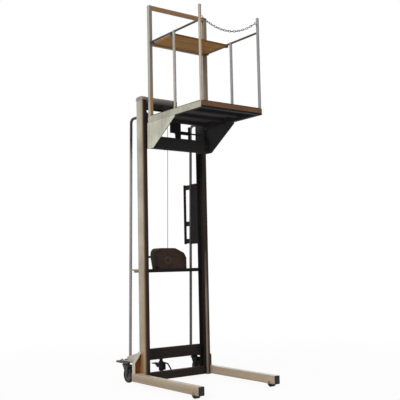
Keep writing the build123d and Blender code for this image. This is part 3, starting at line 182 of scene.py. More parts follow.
# noises are scale, detail and roughness, and bumps are strength and depth
glossRange = (0.3, 0.7)
paintGrain = {"broadRange": (0.40, 0.72), "grimeShare": 0.7, "streakScale": 9.0, "streakRange": (0.52, 0.80),
              "chipNoise": (55.0, 5.0, 0.65), "chipRange": (0.46, 0.62), "glossScale": 26.0,
              "glossChange": (-0.07, 0.10), "peelNoise": (240.0, 3.0), "peelBump": (0.06, 0.0006),
              "treadRange": (0.55, 0.75), "treadPeel": 0.1, "treadBump": (0.5, 0.002)}


def paintMaterial(name, look, zones=(), tread=0.0):
    material, tree, bsdf = startMaterial(name)
    colour = zonedColour(tree, look["colour"], zones)
    broad = noiseValue(tree, look["broadScale"])
    broad = remap(tree, broad, *paintGrain["broadRange"], 0.0, look["broad"])
    grimy = mixColour(tree, paintGrain["grimeShare"], colour, look["grime"])
    colour = mixColour(tree, broad, colour, grimy)
    streak = noiseValue(tree, paintGrain["streakScale"], stretch=look["streak"])
    streak = remap(tree, streak, *paintGrain["streakRange"], 0.0, look["streakAmount"])
    colour = mixColour(tree, streak, colour, look["grime"])
    chips = remap(tree, noiseValue(tree, *paintGrain["chipNoise"]), *paintGrain["chipRange"])
    wearAndHighlight = maths(tree, "MULTIPLY", edgeMask(tree, look["edge"]), chips)
    wearAndHighlight = maths(tree, "MULTIPLY", wearAndHighlight, look["wear"])
    colour = mixColour(tree, wearAndHighlight, colour, look["bare"])
    tree.links.new(colour, bsdf.inputs["Base Color"])
    bsdf.inputs["Specular IOR Level"].default_value = look["shine"]
    smooth, dull = (look["rough"] + change for change in paintGrain["glossChange"])
    rough = remap(tree, noiseValue(tree, paintGrain["glossScale"]), *glossRange, smooth, dull)
    tree.links.new(rough, bsdf.inputs["Roughness"])
    height = noiseValue(tree, *paintGrain["peelNoise"])
    if tread:
        bars = [addNode(tree, "ShaderNodeTexWave", {
            "Vector": objectPlace(tree, (1.0, turn, 1.0)), "Scale": tread},
            bands_direction="DIAGONAL").outputs["Fac"] for turn in (1.0, -1.0)]
        raised = remap(tree, maths(tree, "MULTIPLY", *bars), *paintGrain["treadRange"])
        peel = maths(tree, "MULTIPLY", height, paintGrain["treadPeel"])
        addBump(tree, bsdf, maths(tree, "ADD", peel, raised), *paintGrain["treadBump"])
    else:
        addBump(tree, bsdf, height, *paintGrain["peelBump"])
    return material


steelGrain = {"noise": (60.0, 5.0, 0.6), "range": (0.35, 0.68), "stainNoise": (14.0, 5.0, 0.6),
              "stainRange": (0.55, 0.75), "dulling": 0.18, "bump": (0.08, 0.0004)}


def steelMaterial(name, look):
    material, tree, bsdf = startMaterial(name)
    bsdf.inputs["Metallic"].default_value = look["metal"]
    grain = noiseValue(tree, *steelGrain["noise"], look["grain"])
    colour = mixColour(tree, remap(tree, grain, *steelGrain["range"]), look["dark"], look["light"])
    stain = noiseValue(tree, *steelGrain["stainNoise"])
    stain = remap(tree, stain, *steelGrain["stainRange"], 0.0, look["stain"])
    colour = mixColour(tree, stain, colour, look["rustAndShade"])
    tree.links.new(colour, bsdf.inputs["Base Color"])
    rough = remap(tree, grain, *glossRange, look["rough"], look["rough"] + steelGrain["dulling"])
    tree.links.new(rough, bsdf.inputs["Roughness"])
    addBump(tree, bsdf, grain, *steelGrain["bump"])
    return material


rubberGrain = {"dustNoise": (22.0, 5.0, 0.65), "dustRange": (0.45, 0.75), "glossScale": 40.0, "dulling": 0.2,
               "poreNoise": (320.0, 3.0), "bump": (0.12, 0.0006)}


def rubberMaterial(name, look, zones=()):
    material, tree, bsdf = startMaterial(name)
    bsdf.inputs["Specular IOR Level"].default_value = look["shine"]
    dust = noiseValue(tree, *rubberGrain["dustNoise"])
    dust = remap(tree, dust, *rubberGrain["dustRange"], 0.0, look["dust"])
    colour = mixColour(tree, dust, zonedColour(tree, look["colour"], zones), look["dustColour"])
    tree.links.new(colour, bsdf.inputs["Base Color"])
    gloss = noiseValue(tree, rubberGrain["glossScale"])
    rough = remap(tree, gloss, *glossRange, look["rough"], look["rough"] + rubberGrain["dulling"])
    tree.links.new(rough, bsdf.inputs["Roughness"])
    addBump(tree, bsdf, noiseValue(tree, *rubberGrain["poreNoise"]), *rubberGrain["bump"])
    return material


woodGrain = {"distortion": 7.0, "detail": 4.0, "detailScale": 1.6, "ringRange": (0.1, 0.9),
             "fibreNoise": (30.0, 6.0, 0.65), "poreRange": (0.42, 0.70), "poreShare": 0.55, "edge": 0.006,
             "rough": (0.45, 0.65), "bump": (0.15, 0.0008)}


def woodMaterial(name, look, zones=()):
    material, tree, bsdf = startMaterial(name)
    bsdf.inputs["Specular IOR Level"].default_value = look["shine"]
    rings = addNode(tree, "ShaderNodeTexWave", {
        "Vector": objectPlace(tree, look["stretch"]), "Scale": look["rings"],
        "Distortion": woodGrain["distortion"], "Detail": woodGrain["detail"],
        "Detail Scale": woodGrain["detailScale"]}, bands_direction="Y").outputs["Fac"]
    fibre = noiseValue(tree, *woodGrain["fibreNoise"], look["fibre"])
    colour = mixColour(tree, remap(tree, rings, *woodGrain["ringRange"]), look["dark"], look["light"])
    pores = remap(tree, fibre, *woodGrain["poreRange"], 0.0, woodGrain["poreShare"])
    colour = mixColour(tree, pores, colour, look["pore"])
    wearAndHighlight = maths(tree, "MULTIPLY", edgeMask(tree, woodGrain["edge"]), look["wear"])
    colour = zonedColour(tree, mixColour(tree, wearAndHighlight, colour, look["pore"]), zones)
    tree.links.new(colour, bsdf.inputs["Base Color"])
    tree.links.new(remap(tree, fibre, *glossRange, *woodGrain["rough"]), bsdf.inputs["Roughness"])
    addBump(tree, bsdf, fibre, *woodGrain["bump"])
    return material


# finishes: a look is the paint all over a piece, and a zone is another colour on a part of it

creamLook = {
    "colour": (0.47, 0.40, 0.32), "grime": (0.28, 0.20, 0.13), "bare": (0.20, 0.13, 0.085), "broadScale": 2.2,
    "broad": 0.45, "streak": (6.0, 6.0, 0.5), "streakAmount": 0.32, "edge": 0.004, "wear": 0.6,
    "rough": 0.45, "shine": 0.30}
darkLook = {
    "colour": (0.021, 0.018, 0.018), "grime": (0.031, 0.024, 0.021), "bare": (0.10, 0.085, 0.075),
    "broadScale": 3.0, "broad": 0.5, "streak": (6.0, 6.0, 0.6), "streakAmount": 0.35, "edge": 0.003,
    "wear": 0.40, "rough": 0.60, "shine": 0.05}
hoodLook = {
    "colour": (0.050, 0.029, 0.021), "grime": (0.014, 0.009, 0.007), "bare": (0.20, 0.15, 0.12),
    "broadScale": 10.0, "broad": 0.95, "streak": (8.0, 8.0, 1.0), "streakAmount": 0.5, "edge": 0.005,
    "wear": 0.6, "rough": 0.48, "shine": 0.07}
tubeLook = {
    "colour": (0.29, 0.282, 0.275), "grime": (0.12, 0.105, 0.095), "bare": (0.40, 0.39, 0.37),
    "broadScale": 4.0, "broad": 0.5, "streak": (9.0, 9.0, 0.6), "streakAmount": 0.4, "edge": 0.003,
    "wear": 0.3, "rough": 0.40, "shine": 0.25}
guardLook = {
    "colour": (0.38, 0.355, 0.32), "grime": (0.22, 0.16, 0.105), "bare": (0.27, 0.20, 0.14),
    "broadScale": 2.6, "broad": 0.5, "streak": (8.0, 8.0, 0.5), "streakAmount": 0.35, "edge": 0.003,
    "wear": 0.45, "rough": 0.42, "shine": 0.22}
headLook = {
    "colour": (0.31, 0.28, 0.245), "grime": (0.13, 0.110, 0.095), "bare": (0.36, 0.33, 0.30),
    "broadScale": 4.0, "broad": 0.6, "streak": (3.0, 6.0, 3.0), "streakAmount": 0.4, "edge": 0.004,
    "wear": 0.5, "rough": 0.50, "shine": 0.08}
# the deck plate's dark underside is painted shade, kept a little lighter than the frame to even out the shade
# between the joists
deckShadeLook = {
    "colour": (0.058, 0.052, 0.053), "grime": (0.066, 0.055, 0.050), "bare": (0.15, 0.13, 0.115),
    "broadScale": 4.5, "broad": 0.7, "streak": (3.0, 3.0, 3.0), "streakAmount": 0.45, "edge": 0.003,
    "wear": 0.5, "rough": 0.62, "shine": 0.05}
forkLook = {
    "colour": (0.046, 0.033, 0.026), "grime": (0.016, 0.013, 0.011), "bare": (0.20, 0.18, 0.165),
    "broadScale": 9.0, "broad": 0.7, "streak": (6.0, 6.0, 1.0), "streakAmount": 0.5, "edge": 0.003,
    "wear": 0.5, "rough": 0.40, "shine": 0.2}
legLook = {**creamLook, "colour": (0.45, 0.36, 0.255)}
plateLook = {**guardLook, "colour": (0.57, 0.515, 0.43)}
shelfLook = {**darkLook, "colour": (0.013, 0.012, 0.012)}
crankLook = {**hoodLook, "colour": (0.27, 0.165, 0.075), "grime": (0.10, 0.055, 0.025)}
baseRailLook = {**darkLook, "colour": (0.030, 0.022, 0.019)}
carriageLook = {**darkLook, "colour": (0.031, 0.029, 0.031), "grime": (0.042, 0.037, 0.036)}
# the platform brackets' dark base is painted shade on their inner faces
bracketShadeLook = {**darkLook, "colour": (0.052, 0.050, 0.053), "grime": (0.062, 0.056, 0.055)}

# colours that several pieces share
flangeShadeBrown = (0.034, 0.023, 0.018)
recessShadeGold = (0.34, 0.180, 0.060)
taupeShade = (0.235, 0.205, 0.170)
railGrey = (0.048, 0.043, 0.043)
tanPaint = (0.35, 0.25, 0.17)

# zone places: a fade's pair runs from no paint to full paint, a band's pair is its low and high edge
uprightSet = {
    "coolCream": (0.455, 0.445, 0.375), "lowCool": (0.445, 0.375, 0.29), "warmCream": (0.47, 0.38, 0.29),
    "lowWarm": (0.46, 0.335, 0.225), "webCornerShade": (0.20, 0.14, 0.09), "flangeEdgeHighlight": (0.115, 0.080, 0.056),
    "flangeLowHighlight": (0.075, 0.058, 0.048), "flangeHighlightStripe": (0.27, 0.205, 0.155), "webRound": 0.0035,
    "flangeFace": 0.001, "edgeX": (-0.364, -0.384), "highlightZ": (1.30, 0.85), "highlightStripeX": (0.335, 0.359),
    "lowZ": (1.70, 0.60), "warmY": (0.078, 0.038), "cornerY": (0.024, 0.002), "footZ": (0.330, 0.270),
    "footY": (0.020, 0.060)}


def behindFront(start, end):
    return fade("Y", mastY + start, mastY + end)


def uprightZones():
    web = beyond("X", uprightHigh.x - uprightSet["webRound"], True)
    flange = short("Y", mastY + uprightSet["flangeFace"])
    wearAndHighlight = fade("Z", *uprightSet["highlightZ"])
    low = fade("Z", *uprightSet["lowZ"])
    warm = behindFront(*uprightSet["warmY"])
    foot = (beyond("Z", legHigh.z), fade("Z", *uprightSet["footZ"]), behindFront(*uprightSet["footY"]))
    # the uprights are cream all over: the dark base on the channel insides and the dark brown on the front
    # flanges are painted shade
    return [
        ((flange,), flangeShadeBrown),
        # a lighter band along the left flange's outer corner: painted highlight
        ((flange, fade("X", *uprightSet["edgeX"])), uprightSet["flangeEdgeHighlight"]),
        # lower down the right flange turns lighter, with a brighter stripe: painted reflection of the pale
        # floor
        ((flange, wearAndHighlight, beyond("X", 0.0)), uprightSet["flangeLowHighlight"]),
        ((flange, wearAndHighlight, *between("X", *uprightSet["highlightStripeX"])), uprightSet["flangeHighlightStripe"]),
        ((web,), uprightSet["coolCream"]),
        ((web, low), uprightSet["lowCool"]),
        ((web, warm), uprightSet["warmCream"]),
        ((web, warm, low), uprightSet["lowWarm"]),
        # darker brown in the web's front corner: painted shade
        ((web, behindFront(*uprightSet["cornerY"])), uprightSet["webCornerShade"]),
        # golden brown low on the web inside the leg bracket: painted shade of the recess
        ((web, *foot), recessShadeGold)]


deckSet = {"side": (0.47, 0.45, 0.355), "front": (0.200, 0.098, 0.045), "frontShadowStrip": (0.008, 0.008, 0.009),
           "top": (0.075, 0.042, 0.026), "rim": 0.0035, "lip": 0.0015, "footHeight": 0.016, "tread": 11.0}


def deckFrameZones():
    low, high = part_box("deck_frame")
    aboveLip = beyond("Z", low.z + deckSet["lip"])
    front = short("Y", low.y + deckSet["rim"])
    # the frame is cream: its dark base on the underside, the brown front face and the near-black strip at the
    # foot of the front are painted shade
    return [
        ((beyond("X", high.x - deckSet["rim"], True), aboveLip), deckSet["side"]),
        ((front, aboveLip), deckSet["frontShadowStrip"]),
        ((front, beyond("Z", low.z + deckSet["footHeight"])), deckSet["front"])]


def deckPlateZones():
    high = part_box("deck_plate")[1]
    return [((beyond("Z", high.z - skin),), deckSet["top"])]


# only the brackets' outer faces are cream; the dark rest is painted shade
bracketSet = {"outside": (0.58, 0.56, 0.45), "rim": 0.0025}


def bracketZones():
    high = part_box("platform_bracket_right")[1]
    return [((beyond("X", high.x - bracketSet["rim"], True),), bracketSet["outside"])]


legBracketSet = {"brown": (0.28, 0.085, 0.016), "brownX": (0.386, 0.410), "wall": 0.0058,
                 "roofSlope": 1.3286, "roofReach": 0.8075}


def legBracketZones():
    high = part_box("leg_bracket_right")[1]
    roof = slant((legBracketSet["roofSlope"], 0.0, 1.0), legBracketSet["roofReach"])
    recess = (short("X", high.x - legBracketSet["wall"], True), beyond("Z", legHigh.z + skin),
              short("Y", uprightHigh.y + skin), roof)
    # inside the recess all is painted shade: golden brown, darker brown beside the outer wall that shades it,
    # and dark brown in the right bracket, which the upright shades
    return [
        (recess, recessShadeGold),
        ((*recess, fade("X", *legBracketSet["brownX"], True)), legBracketSet["brown"]),
        ((*recess, beyond("X", 0.0)), flangeShadeBrown)]


legSet = {"shade": (0.335, 0.268, 0.180), "rustAndShade": (0.36, 0.245, 0.155), "top": (0.58, 0.505, 0.39),
          "shadeZ": (0.098, 0.070), "rustAndShadeZ": (0.052, 0.031), "topFace": 0.0008}


def legZones():
    return [
        ((short("X", 0.0), fade("Z", *legSet["shadeZ"])), legSet["shade"]),
        ((fade("Z", *legSet["rustAndShadeZ"]),), legSet["rustAndShade"]),
        # lighter top face: painted highlight
        ((beyond("Z", legHigh.z - legSet["topFace"]),), legSet["top"])]


rearGuardSet = {"post": (0.225, 0.168, 0.125), "rustAndShade": (0.38, 0.195, 0.066), "rail": (0.30, 0.165, 0.066),
                "rim": 0.004, "postWidth": 0.0385, "postX": 0.3, "rustAndShadeZ": (2.95, 2.75)}


def rearGuardZones():
    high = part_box("rear_guard")[1]
    inside = short("X", high.x - rearGuardSet["rim"], True)
    rightPost, leftPost = beyond("X", rearGuardSet["postX"]), short("X", -rearGuardSet["postX"])
    # the outer end faces keep the light guard paint; the taupe inside them, the brown on the rails and the
    # orange brown low on the left post are painted shade; the right post is a darker brown
    return [
        ((inside,), taupeShade),
        ((inside, rightPost), rearGuardSet["post"]),
        ((inside, leftPost, fade("Z", *rearGuardSet["rustAndShadeZ"])), rearGuardSet["rustAndShade"]),
        ((short("X", high.x - rearGuardSet["postWidth"], True),), rearGuardSet["rail"])]


sideGuardSet = {"right": (0.295, 0.300, 0.305), "frontPost": (0.44, 0.37, 0.28), "frontY": -0.600,
                "frontZ": (3.45, 3.25), "innerX": -0.3420, "railZ": (3.2640, 3.3115), "rearRailY": -0.2412,
                "frontRailY": (-0.6432, -0.2698)}


def sideGuardZones():
    left = short("X", 0.0)
    rail = between("Z", *sideGuardSet["railZ"])
    frontPost = (left, short("Y", sideGuardSet["frontY"]), fade("Z", *sideGuardSet["frontZ"]))
    return [
        ((beyond("X", 0.0),), sideGuardSet["right"]),
        (frontPost, sideGuardSet["frontPost"]),
        # taupe on the left guard's inner side: painted shade on the faces turned from the lamp
        ((beyond("X", sideGuardSet["innerX"]), left), taupeShade),
        ((*rail, beyond("Y", sideGuardSet["rearRailY"])), railGrey),
        ((*rail, *between("Y", *sideGuardSet["frontRailY"])), railGrey)]


headSet = {"middle": (0.52, 0.475, 0.435), "dark": (0.010, 0.0088, 0.0088), "endX": 0.333,
           "darkZ": (2.792, 2.714), "shallowX": (0.030, 0.331)}


def headZones():
    middle = short("X", headSet["endX"], True)
    # lighter in the middle and fading to near black toward the bottom: painted highlight on the beam's
    # rounded top and painted shade under it
    return [
        ((middle,), headSet["middle"]),
        ((fade("Z", *headSet["darkZ"]), middle), headSet["dark"]),
        (between("X", *headSet["shallowX"]), darkLook["colour"])]


tubeSet = {"shade": (0.125, 0.130, 0.138), "brown": (0.014, 0.010, 0.009), "brownZ": (2.12, 2.38),
           "panelZ": (1.340, 1.980), "tieZ": (1.0795, 1.0955), "tieY": 0.5060}


def tubeZones():
    right = beyond("X", 0.0)
    return [
        ((right,), tubeSet["shade"]),
        ((short("X", 0.0), fade("Z", *tubeSet["brownZ"])), tubeSet["brown"]),
        ((right, *between("Z", *tubeSet["panelZ"])), railGrey),
        ((*between("Z", *tubeSet["tieZ"]), short("Y", tubeSet["tieY"])), tanPaint)]


hoodSet = {"side": (0.036, 0.024, 0.012), "wearAndHighlight": (0.085, 0.066, 0.060), "sideX": -0.168,
           "crownZ": (1.285, 1.297), "coverFace": 0.0935, "coverX": -0.050, "coverZ": 1.176,
           "coverRim": (0.0300, 0.0385)}


def hoodZones():
    coverRim = around(hoodSet["coverX"], hoodSet["coverZ"], *hoodSet["coverRim"])
    # lighter at the crown and in a ring round the cover: painted highlight
    return [
        ((short("X", hoodSet["sideX"]),), hoodSet["side"]),
        ((fade("Z", *hoodSet["crownZ"]),), hoodSet["wearAndHighlight"]),
        ((short("Y", mastY + hoodSet["coverFace"]), coverRim), hoodSet["wearAndHighlight"])]


gripSet = {"bar": (0.020, 0.014, 0.011), "barY": 0.5900}
gripZones = [((beyond("Y", gripSet["barY"]),), gripSet["bar"])]
# the caster plate's sides below its top face are dark: painted shade
plateSet = {"rim": (0.055, 0.053, 0.052), "topZ": 0.2122}
plateZones = [((short("Z", plateSet["topZ"]),), plateSet["rim"])]
shelfSet = {"end": tanPaint, "endX": -0.338}
shelfZones = [((short("X", shelfSet["endX"]),), shelfSet["end"])]

uprightPaint = paintMaterial("uprightPaint", darkLook, uprightZones())
deckSidePaint = paintMaterial("deckSidePaint", carriageLook, deckFrameZones())
deckPaint = paintMaterial("deckPaint", deckShadeLook, deckPlateZones(), tread=deckSet["tread"])
bracketPaint = paintMaterial("bracketPaint", bracketShadeLook, bracketZones())
legBracketPaint = paintMaterial("legBracketPaint", plateLook, legBracketZones())
legPaint = paintMaterial("legPaint", legLook, legZones())
rearGuardPaint = paintMaterial("rearGuardPaint", guardLook, rearGuardZones())
sideGuardPaint = paintMaterial("sideGuardPaint", guardLook, sideGuardZones())
headPaint = paintMaterial("headPaint", headLook, headZones())
tubePaint = paintMaterial("tubePaint", tubeLook, tubeZones())
hoodPaint = paintMaterial("hoodPaint", hoodLook, hoodZones())
gripPaint = paintMaterial("gripPaint", darkLook, gripZones)
plateGrey = paintMaterial("plateGrey", plateLook, plateZones)
shelfPaint = paintMaterial("shelfPaint", shelfLook, shelfZones)
darkPaint = paintMaterial("darkPaint", darkLook)
carriagePaint = paintMaterial("carriagePaint", carriageLook)
baseRailPaint = paintMaterial("baseRailPaint", baseRailLook)
forkPaint = paintMaterial("forkPaint", forkLook)
crankPaint = paintMaterial("crankPaint", crankLook)

platedSteel = steelMaterial("platedSteel", {
    "dark": (0.12, 0.12, 0.118), "light": (0.30, 0.30, 0.29), "rustAndShade": (0.10, 0.065, 0.04), "stain": 0.45,
    "rough": 0.36, "grain": (1.0, 1.0, 1.0), "metal": 0.9})
turnedSteel = steelMaterial("turnedSteel", {
    "dark": (0.14, 0.14, 0.14), "light": (0.32, 0.32, 0.33), "rustAndShade": (0.08, 0.06, 0.04), "stain": 0.6,
    "rough": 0.30, "grain": (6.0, 1.0, 1.0), "metal": 1.0})
ropeSteel = steelMaterial("ropeSteel", {
    "dark": (0.14, 0.14, 0.215), "light": (0.29, 0.29, 0.405), "rustAndShade": (0.12, 0.11, 0.10), "stain": 0.3,
    "rough": 0.40, "grain": (1.0, 1.0, 0.4), "metal": 0.5})
chainSteel = steelMaterial("chainSteel", {
    "dark": (0.035, 0.035, 0.060), "light": (0.115, 0.115, 0.165), "rustAndShade": (0.08, 0.06, 0.05), "stain": 0.4,
    "rough": 0.36, "grain": (1.0, 1.0, 1.0), "metal": 0.7})
sheaveIron = steelMaterial("sheaveIron", {
    "dark": (0.05, 0.05, 0.05), "light": (0.12, 0.12, 0.125), "rustAndShade": (0.08, 0.05, 0.03), "stain": 0.4,
    "rough": 0.5, "grain": (1.0, 1.0, 1.0), "metal": 0.8})
hubSteel = steelMaterial("hubSteel", {
    "dark": (0.028, 0.024, 0.021), "light": (0.075, 0.066, 0.058), "rustAndShade": (0.08, 0.048, 0.026), "stain": 0.5,
    "rough": 0.45, "grain": (1.0, 1.0, 1.0), "metal": 0.4})
leverSteel = steelMaterial("leverSteel", {
    "dark": (0.036, 0.035, 0.035), "light": (0.092, 0.090, 0.088), "rustAndShade": (0.06, 0.04, 0.03), "stain": 0.4,
    "rough": 0.45, "grain": (1.0, 1.0, 1.0), "metal": 0.5})

rubberLook = {"colour": (0.010, 0.010, 0.010), "dustColour": (0.045, 0.038, 0.032), "dust": 0.4,
              "rough": 0.62, "shine": 0.2}
plasticLook = {"colour": (0.011, 0.011, 0.012), "dustColour": (0.045, 0.040, 0.035), "dust": 0.35,
               "rough": 0.45, "shine": 0.3}
footSet = {"steel": (0.16, 0.16, 0.155), "steelZ": 0.0385}
footZones = [((beyond("Z", footSet["steelZ"]),), footSet["steel"])]
tyreRubber = rubberMaterial("tyreRubber", rubberLook)
footRubber = rubberMaterial("footRubber", rubberLook, footZones)
capPlastic = rubberMaterial("capPlastic", plasticLook)

trayLook = {
    "dark": (0.33, 0.142, 0.024), "light": (0.50, 0.250, 0.055), "pore": (0.12, 0.050, 0.012),
    "stretch": (0.35, 6.0, 6.0), "fibre": (0.6, 14.0, 14.0), "rings": 1.6, "wear": 0.7, "shine": 0.06}
traySet = {"shade": (0.115, 0.050, 0.011), "edge": (0.17, 0.080, 0.022), "shadeY": (0.090, 0.010),
           "shadeX": (0.265, 0.325), "frontFace": 0.001}


def trayZones():
    low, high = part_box("tray_board")
    start, end = traySet["shadeY"]
    return [
        ((fade("Y", high.y - start, high.y - end),), traySet["shade"]),
        ((fade("X", *traySet["shadeX"]),), traySet["shade"]),
        # darker front face: painted shade
        ((short("Y", low.y + traySet["frontFace"]),), traySet["edge"])]


trayWood = woodMaterial("trayWood", trayLook, trayZones())

finishes = {
    legPaint: ["leg_left", "leg_right"],
    plateGrey: ["caster_plate_left"],
    legBracketPaint: ["leg_bracket_left", "leg_bracket_right"],
    uprightPaint: ["mast_upright_left", "mast_upright_right"],
    headPaint: ["mast_crosshead"],
    tubePaint: ["rear_tube_left", "rear_tube_right"],
    gripPaint: ["grip_handle"],
    shelfPaint: ["winch_shelf"],
    hoodPaint: ["winch_hood"],
    crankPaint: ["crank_arm"],
    forkPaint: ["caster_fork_left"],
    deckSidePaint: ["deck_frame"],
    deckPaint: ["deck_plate"],
    bracketPaint: ["platform_bracket_left", "platform_bracket_right"],
    rearGuardPaint: ["rear_guard"],
    sideGuardPaint: ["side_guard_left", "side_guard_right"],
    # the right caster plate and fork take the dark paint, darker than their left twins: painted shade
    darkPaint: ["caster_plate_right", "floor_lock_body", "floor_lock_pedal", "caster_fork_right",
                "winch_frame", "winch_drum", "rope_anchor", "safety_catch"],
    carriagePaint: ["carriage_beam", "roller_plate_left", "roller_plate_right"],
    baseRailPaint: ["base_top_rail", "base_cross_tube"],
    platedSteel: ["base_fasteners", "sheave_axle"],
    leverSteel: ["caster_lever_left", "caster_lever_right"],
    turnedSteel: ["drum_gear", "pinion_shaft", "ratchet_pawl", "guide_roller_upper_left",
                  "guide_roller_upper_right", "guide_roller_lower_left", "guide_roller_lower_right"],
    sheaveIron: ["top_sheave"],
    ropeSteel: ["rope_winding", "rope_run", "rope_fall"],
    chainSteel: ["safety_chain", "chain_hook"],
    tyreRubber: ["front_roller_left", "front_roller_right", "caster_wheel_left", "caster_wheel_right"],
    footRubber: ["floor_lock_plunger"],
    capPlastic: ["leg_end_caps", "crank_grip"],
    trayWood: ["tray_board"],
}
for finish, names in finishes.items():
    for name in names:
        nodes[name].data.materials.clear()
        nodes[name].data.materials.append(finish)
print("finishes set on", sum(len(names) for names in finishes.values()), "nodes")


# floor, light and camera

pureWhite = (1.0, 1.0, 1.0)
floorSet = {"size": 60.0, "colour": (0.92, 0.92, 0.92), "rough": 0.8, "near": 1.6, "far": 5.0, "plain": 0.92}


def seenRays(tree):
    path = addNode(tree, "ShaderNodeLightPath")
    seen = maths(tree, "MAXIMUM", path.outputs["Is Camera Ray"], path.outputs["Is Glossy Ray"])
    return maths(tree, "MAXIMUM", seen, path.outputs["Is Transmission Ray"])


def makeFloor():
    bm = bmesh.new()
    bmesh.ops.create_grid(bm, x_segments=1, y_segments=1, size=floorSet["size"] / 2)
    mesh = bpy.data.meshes.new("paleFloor")
    bm.to_mesh(mesh)
    bm.free()
    floor = bpy.data.objects.new("paleFloor", mesh)
    bpy.context.scene.collection.objects.link(floor)
    material, tree, bsdf = startMaterial("paleFloor")
    fillSocket(tree, bsdf.inputs["Base Color"], floorSet["colour"])
    bsdf.inputs["Roughness"].default_value = floorSet["rough"]
    glow = addNode(tree, "ShaderNodeEmission", {"Color": pureWhite, "Strength": 1.0})
    away = addNode(tree, "ShaderNodeVectorMath", {0: objectPlace(tree)}, operation="LENGTH").outputs["Value"]
    white = remap(tree, away, floorSet["near"], floorSet["far"], floorSet["plain"], 1.0)
    share = maths(tree, "MULTIPLY", seenRays(tree), white)
    blendNode = addNode(tree, "ShaderNodeMixShader", {0: share, 1: bsdf.outputs[0], 2: glow.outputs[0]})
    tree.links.new(blendNode.outputs[0], tree.nodes["Material Output"].inputs["Surface"])
    mesh.materials.append(material)


worldSet = {"ambient": 0.34, "tint": (0.93, 0.96, 1.0)}


def makeWorld():
    world = bpy.data.worlds.new("studio")
    world.use_nodes = True
    bpy.context.scene.world = world
    tree = world.node_tree
    back = tree.nodes["Background"]
    fillSocket(tree, back.inputs["Color"], worldSet["tint"])
    back.inputs["Strength"].default_value = worldSet["ambient"]
    white = addNode(tree, "ShaderNodeBackground", {"Color": pureWhite, "Strength": 1.0})
    blendNode = addNode(tree, "ShaderNodeMixShader", {
        0: seenRays(tree), 1: back.outputs[0], 2: white.outputs[0]})
    tree.links.new(blendNode.outputs[0], tree.nodes["World Output"].inputs["Surface"])


lampSet = {
    "keyLamp": {"place": (-7.5, -2.0, 5.5), "aim": (0.0, 0.0, 1.9), "size": 3.2, "watts": 430.0},
    "frontLamp": {"place": (1.5, -7.5, 4.0), "aim": (0.0, 0.0, 1.8), "size": 4.0, "watts": 90.0},
    "backLamp": {"place": (5.5, 5.5, 5.0), "aim": (0.0, 0.3, 1.8), "size": 4.0, "watts": 160.0},
}


def makeLamps():
    for name, lamp in lampSet.items():
        data = bpy.data.lights.new(name, "AREA")
        data.energy = lamp["watts"]
        data.size = lamp["size"]
        made = bpy.data.objects.new(name, data)
        made.location = lamp["place"]
        aim = Vector(lamp["aim"]) - Vector(lamp["place"])
        made.rotation_euler = aim.to_track_quat("-Z", "Y").to_euler()
        bpy.context.scene.collection.objects.link(made)


cameraSet = {"place": (-4.1435, -5.6609, 1.1334), "azimuth": -36.95, "elevation": -5.04, "roll": -1.17,
             "focalPixels": 725.4, "framePixels": 400.0, "sensor": 36.0}


def makeCamera():
    azimuth, elevation, roll = (math.radians(cameraSet[key]) for key in ("azimuth", "elevation", "roll"))
    level = math.cos(elevation)
    back = Vector((math.sin(azimuth) * level, -math.cos(azimuth) * level, math.sin(elevation)))
    right = Vector((math.cos(azimuth), math.sin(azimuth), 0.0))
    up = back.cross(right)
    across = math.cos(roll) * right + math.sin(roll) * up
    above = math.cos(roll) * up - math.sin(roll) * right
    data = bpy.data.cameras.new("photoCamera")
    data.sensor_fit = "HORIZONTAL"
    data.sensor_width = cameraSet["sensor"]
    data.lens = cameraSet["sensor"] * cameraSet["focalPixels"] / cameraSet["framePixels"]
    made = bpy.data.objects.new("photoCamera", data)
    turn = Matrix((across, above, back)).transposed().to_4x4()
    made.matrix_world = Matrix.Translation(cameraSet["place"]) @ turn
    bpy.context.scene.collection.objects.link(made)
    bpy.context.scene.camera = made


makeFloor()
makeWorld()
makeLamps()
makeCamera()
bpy.context.scene.view_settings.view_transform = "Standard"
print("floor, lamps and camera placed")


# wire rope laid up from strands spaced as if round a core as thick as they are, with no core drawn; y counted
# from the uprights' front

ropeSet = {"x": 0.0002, "leaveY": 0.171, "leaveZ": 1.2238, "sheaveY": 0.068, "sheaveZ": 2.705,
           "pitchRadius": 0.060, "fallTop": 2.690, "fallEnd": 2.512, "fallGap": 0.0003,
           "radius": 0.003, "strands": 6, "strandSides": 6, "lay": 0.042, "steps": 14, "fewestSteps": 4,
           "drumX": -0.050, "drumZ": 1.198, "windRadius": 0.0502, "windPitch": 0.0067, "turns": 8,
           "lead": 0.006}


def newPiece(name, bm, material, body):
    bmesh.ops.recalc_face_normals(bm, faces=bm.faces)
    mesh = bpy.data.meshes.new(name)
    bm.to_mesh(mesh)
    bm.free()
    mesh.materials.append(material)
    made = bpy.data.objects.new(name, mesh)
    bpy.context.scene.collection.objects.link(made)
    if body:
        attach(made, body)
    return made


def strandBundle(length):
    bm = bmesh.new()
    strand = ropeSet["radius"] / 3.0
    for index in range(ropeSet["strands"]):
        angle = 2 * math.pi * index / ropeSet["strands"]
        place = Matrix.Translation((2 * strand * math.cos(angle), 2 * strand * math.sin(angle), 0.0))
        bmesh.ops.create_circle(bm, cap_ends=True, segments=ropeSet["strandSides"], radius=strand,
                                matrix=place)
    turns = length / ropeSet["lay"]
    steps = max(ropeSet["fewestSteps"], round(turns * ropeSet["steps"]))
    bmesh.ops.spin(bm, geom=bm.faces[:], cent=(0, 0, 0), axis=(0, 0, 1), dvec=(0, 0, length / steps),
                   angle=2 * math.pi * turns, steps=steps, use_merge=False, use_duplicate=False)
    return bm


